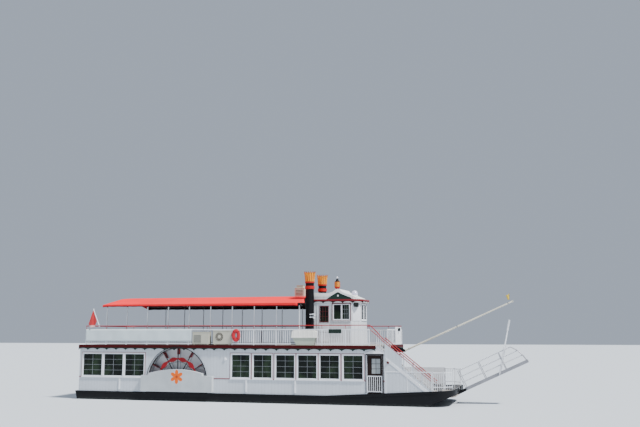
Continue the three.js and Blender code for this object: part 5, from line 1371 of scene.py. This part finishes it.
# Boom and pennant
# A tapered wooden spar painted cream is stepped in a black bracket at the upper deck's front.
# Iron bands hold its tip, and a small yellow pennant flies there from a thin staff.
spar_cream = Finish("spar_cream", (0.80, 0.76, 0.62), 0.45, coat=0.1)
spar_cream.drift(1.2, 0.2)
spar_cream.bump(spar_cream.noise(14, 3, (0.4, 1, 1)), 0.0008)
dress(spar_cream, "boom")
dress(rail_white, "gangway_bail")


def sloped(x, z, pitch):
    """A way to place points on something that starts at x and z and rises forward at a pitch."""
    return lambda along, y=0.0, over=0.0: (x + along * math.cos(pitch) - over * math.sin(pitch), y,
                                           z + along * math.sin(pitch) + over * math.cos(pitch))


on_boom = sloped(6.483, 3.693, math.radians(24.25))
bands = bmesh.new()
for along, radius in ((0.30, 0.0595), (3.40, 0.052), (6.60, 0.043), (6.88, 0.0425)):
    pipe(bands, [on_boom(along - 0.025), on_boom(along + 0.025)], radius, 20)
tip = on_boom(6.70)
staff = fresh(pipe, [(tip[0], 0, tip[2] + 0.02), (tip[0], 0, 6.99)], 0.007, 8)
settle("boom_bands", [made(bands, bare_steel), made(staff, bare_steel)], body="boom")

pennant_yellow = Finish("pennant_yellow", (0.78, 0.55, 0.04), 0.7, sheen=0.3)
pennant_yellow.drift(8, 0.3, (1, 1, 0.5), 0.7)
pennant_yellow.bump(pennant_yellow.noise(120, 2), 0.0004)
PENNANT = {"top": 6.975, "hoist": 0.36, "fly": 0.20, "columns": 12, "rows": 16}


def pennant_spot(i, j):
    u, v = i / PENNANT["columns"], j / PENNANT["rows"]
    width = PENNANT["fly"] * (1 - 0.55 * v)
    sag = 0.05 * math.sin(math.pi * u) * (1 - v)
    z = PENNANT["top"] - PENNANT["hoist"] * v * (1 - 0.18 * u) - 0.09 * u - sag
    return tip[0] - 0.010 - width * u, 0.022 * math.sin(7 * u + 2 * v) * u, z


cloth = fresh(weave, PENNANT["columns"], PENNANT["rows"], pennant_spot)
pennant = settle("pennant", [made(cloth, pennant_yellow)], body="boom")
thicken(pennant, 0.0012)

# Gangway
# An aluminium gangway is hinged at the bow, with a ribbed tread and a railing of tubes on each side.
# White line is wound round its rails, and a white lifting bail stands over it.
gang_alloy = Finish("gang_alloy", (0.36, 0.36, 0.39), 0.45, metallic=0.5)
gang_alloy.drift(1.5, 0.2)
gang_alloy.rough(0.32, 0.55, 5)
gang_alloy.bump(gang_alloy.noise(40), 0.0006)
dress(gang_alloy, "gangway")
GANGWAY = {"pitch": math.radians(24.86), "beam": 0.43, "turn": 0.088, "rib": 0.28, "ribs": 13}
RAIL_RUNS = [(1.10, 3.28), (0.76, 3.54), (0.43, 3.68)]  # height, reach
on_gangway = sloped(10.015, 1.555, GANGWAY["pitch"])
ahead = Vector((math.cos(GANGWAY["pitch"]), 0, math.sin(GANGWAY["pitch"])))
wound = []
for side in (-1, 1):
    y = side * GANGWAY["beam"]
    for height, reach in RAIL_RUNS:
        bead = [on_gangway(along, y, height + off)
                for along, off in ((0.10, 0), (0.113, 0.006), (0.139, -0.006), (0.152, 0))]
        bead = made(fresh(pipe, bead, [0.020, 0.030, 0.030, 0.020], 8), rail_white)
        wound.append(row(bead, int((reach - 0.15) / GANGWAY["turn"]), ahead * GANGWAY["turn"]))
section = ((0.16, 0.058), (0.16, 0.072), (0.19, 0.072), (0.19, 0.058))
corners = [on_gangway(along, 0, over) for along, over in section]
tread_rib = made(fresh(slab, [(x, z) for x, _, z in corners], -0.40, 0.40), gang_alloy)
wound.append(row(tread_rib, GANGWAY["ribs"], ahead * GANGWAY["rib"]))
settle("gangway_winding", wound, body="gangway")
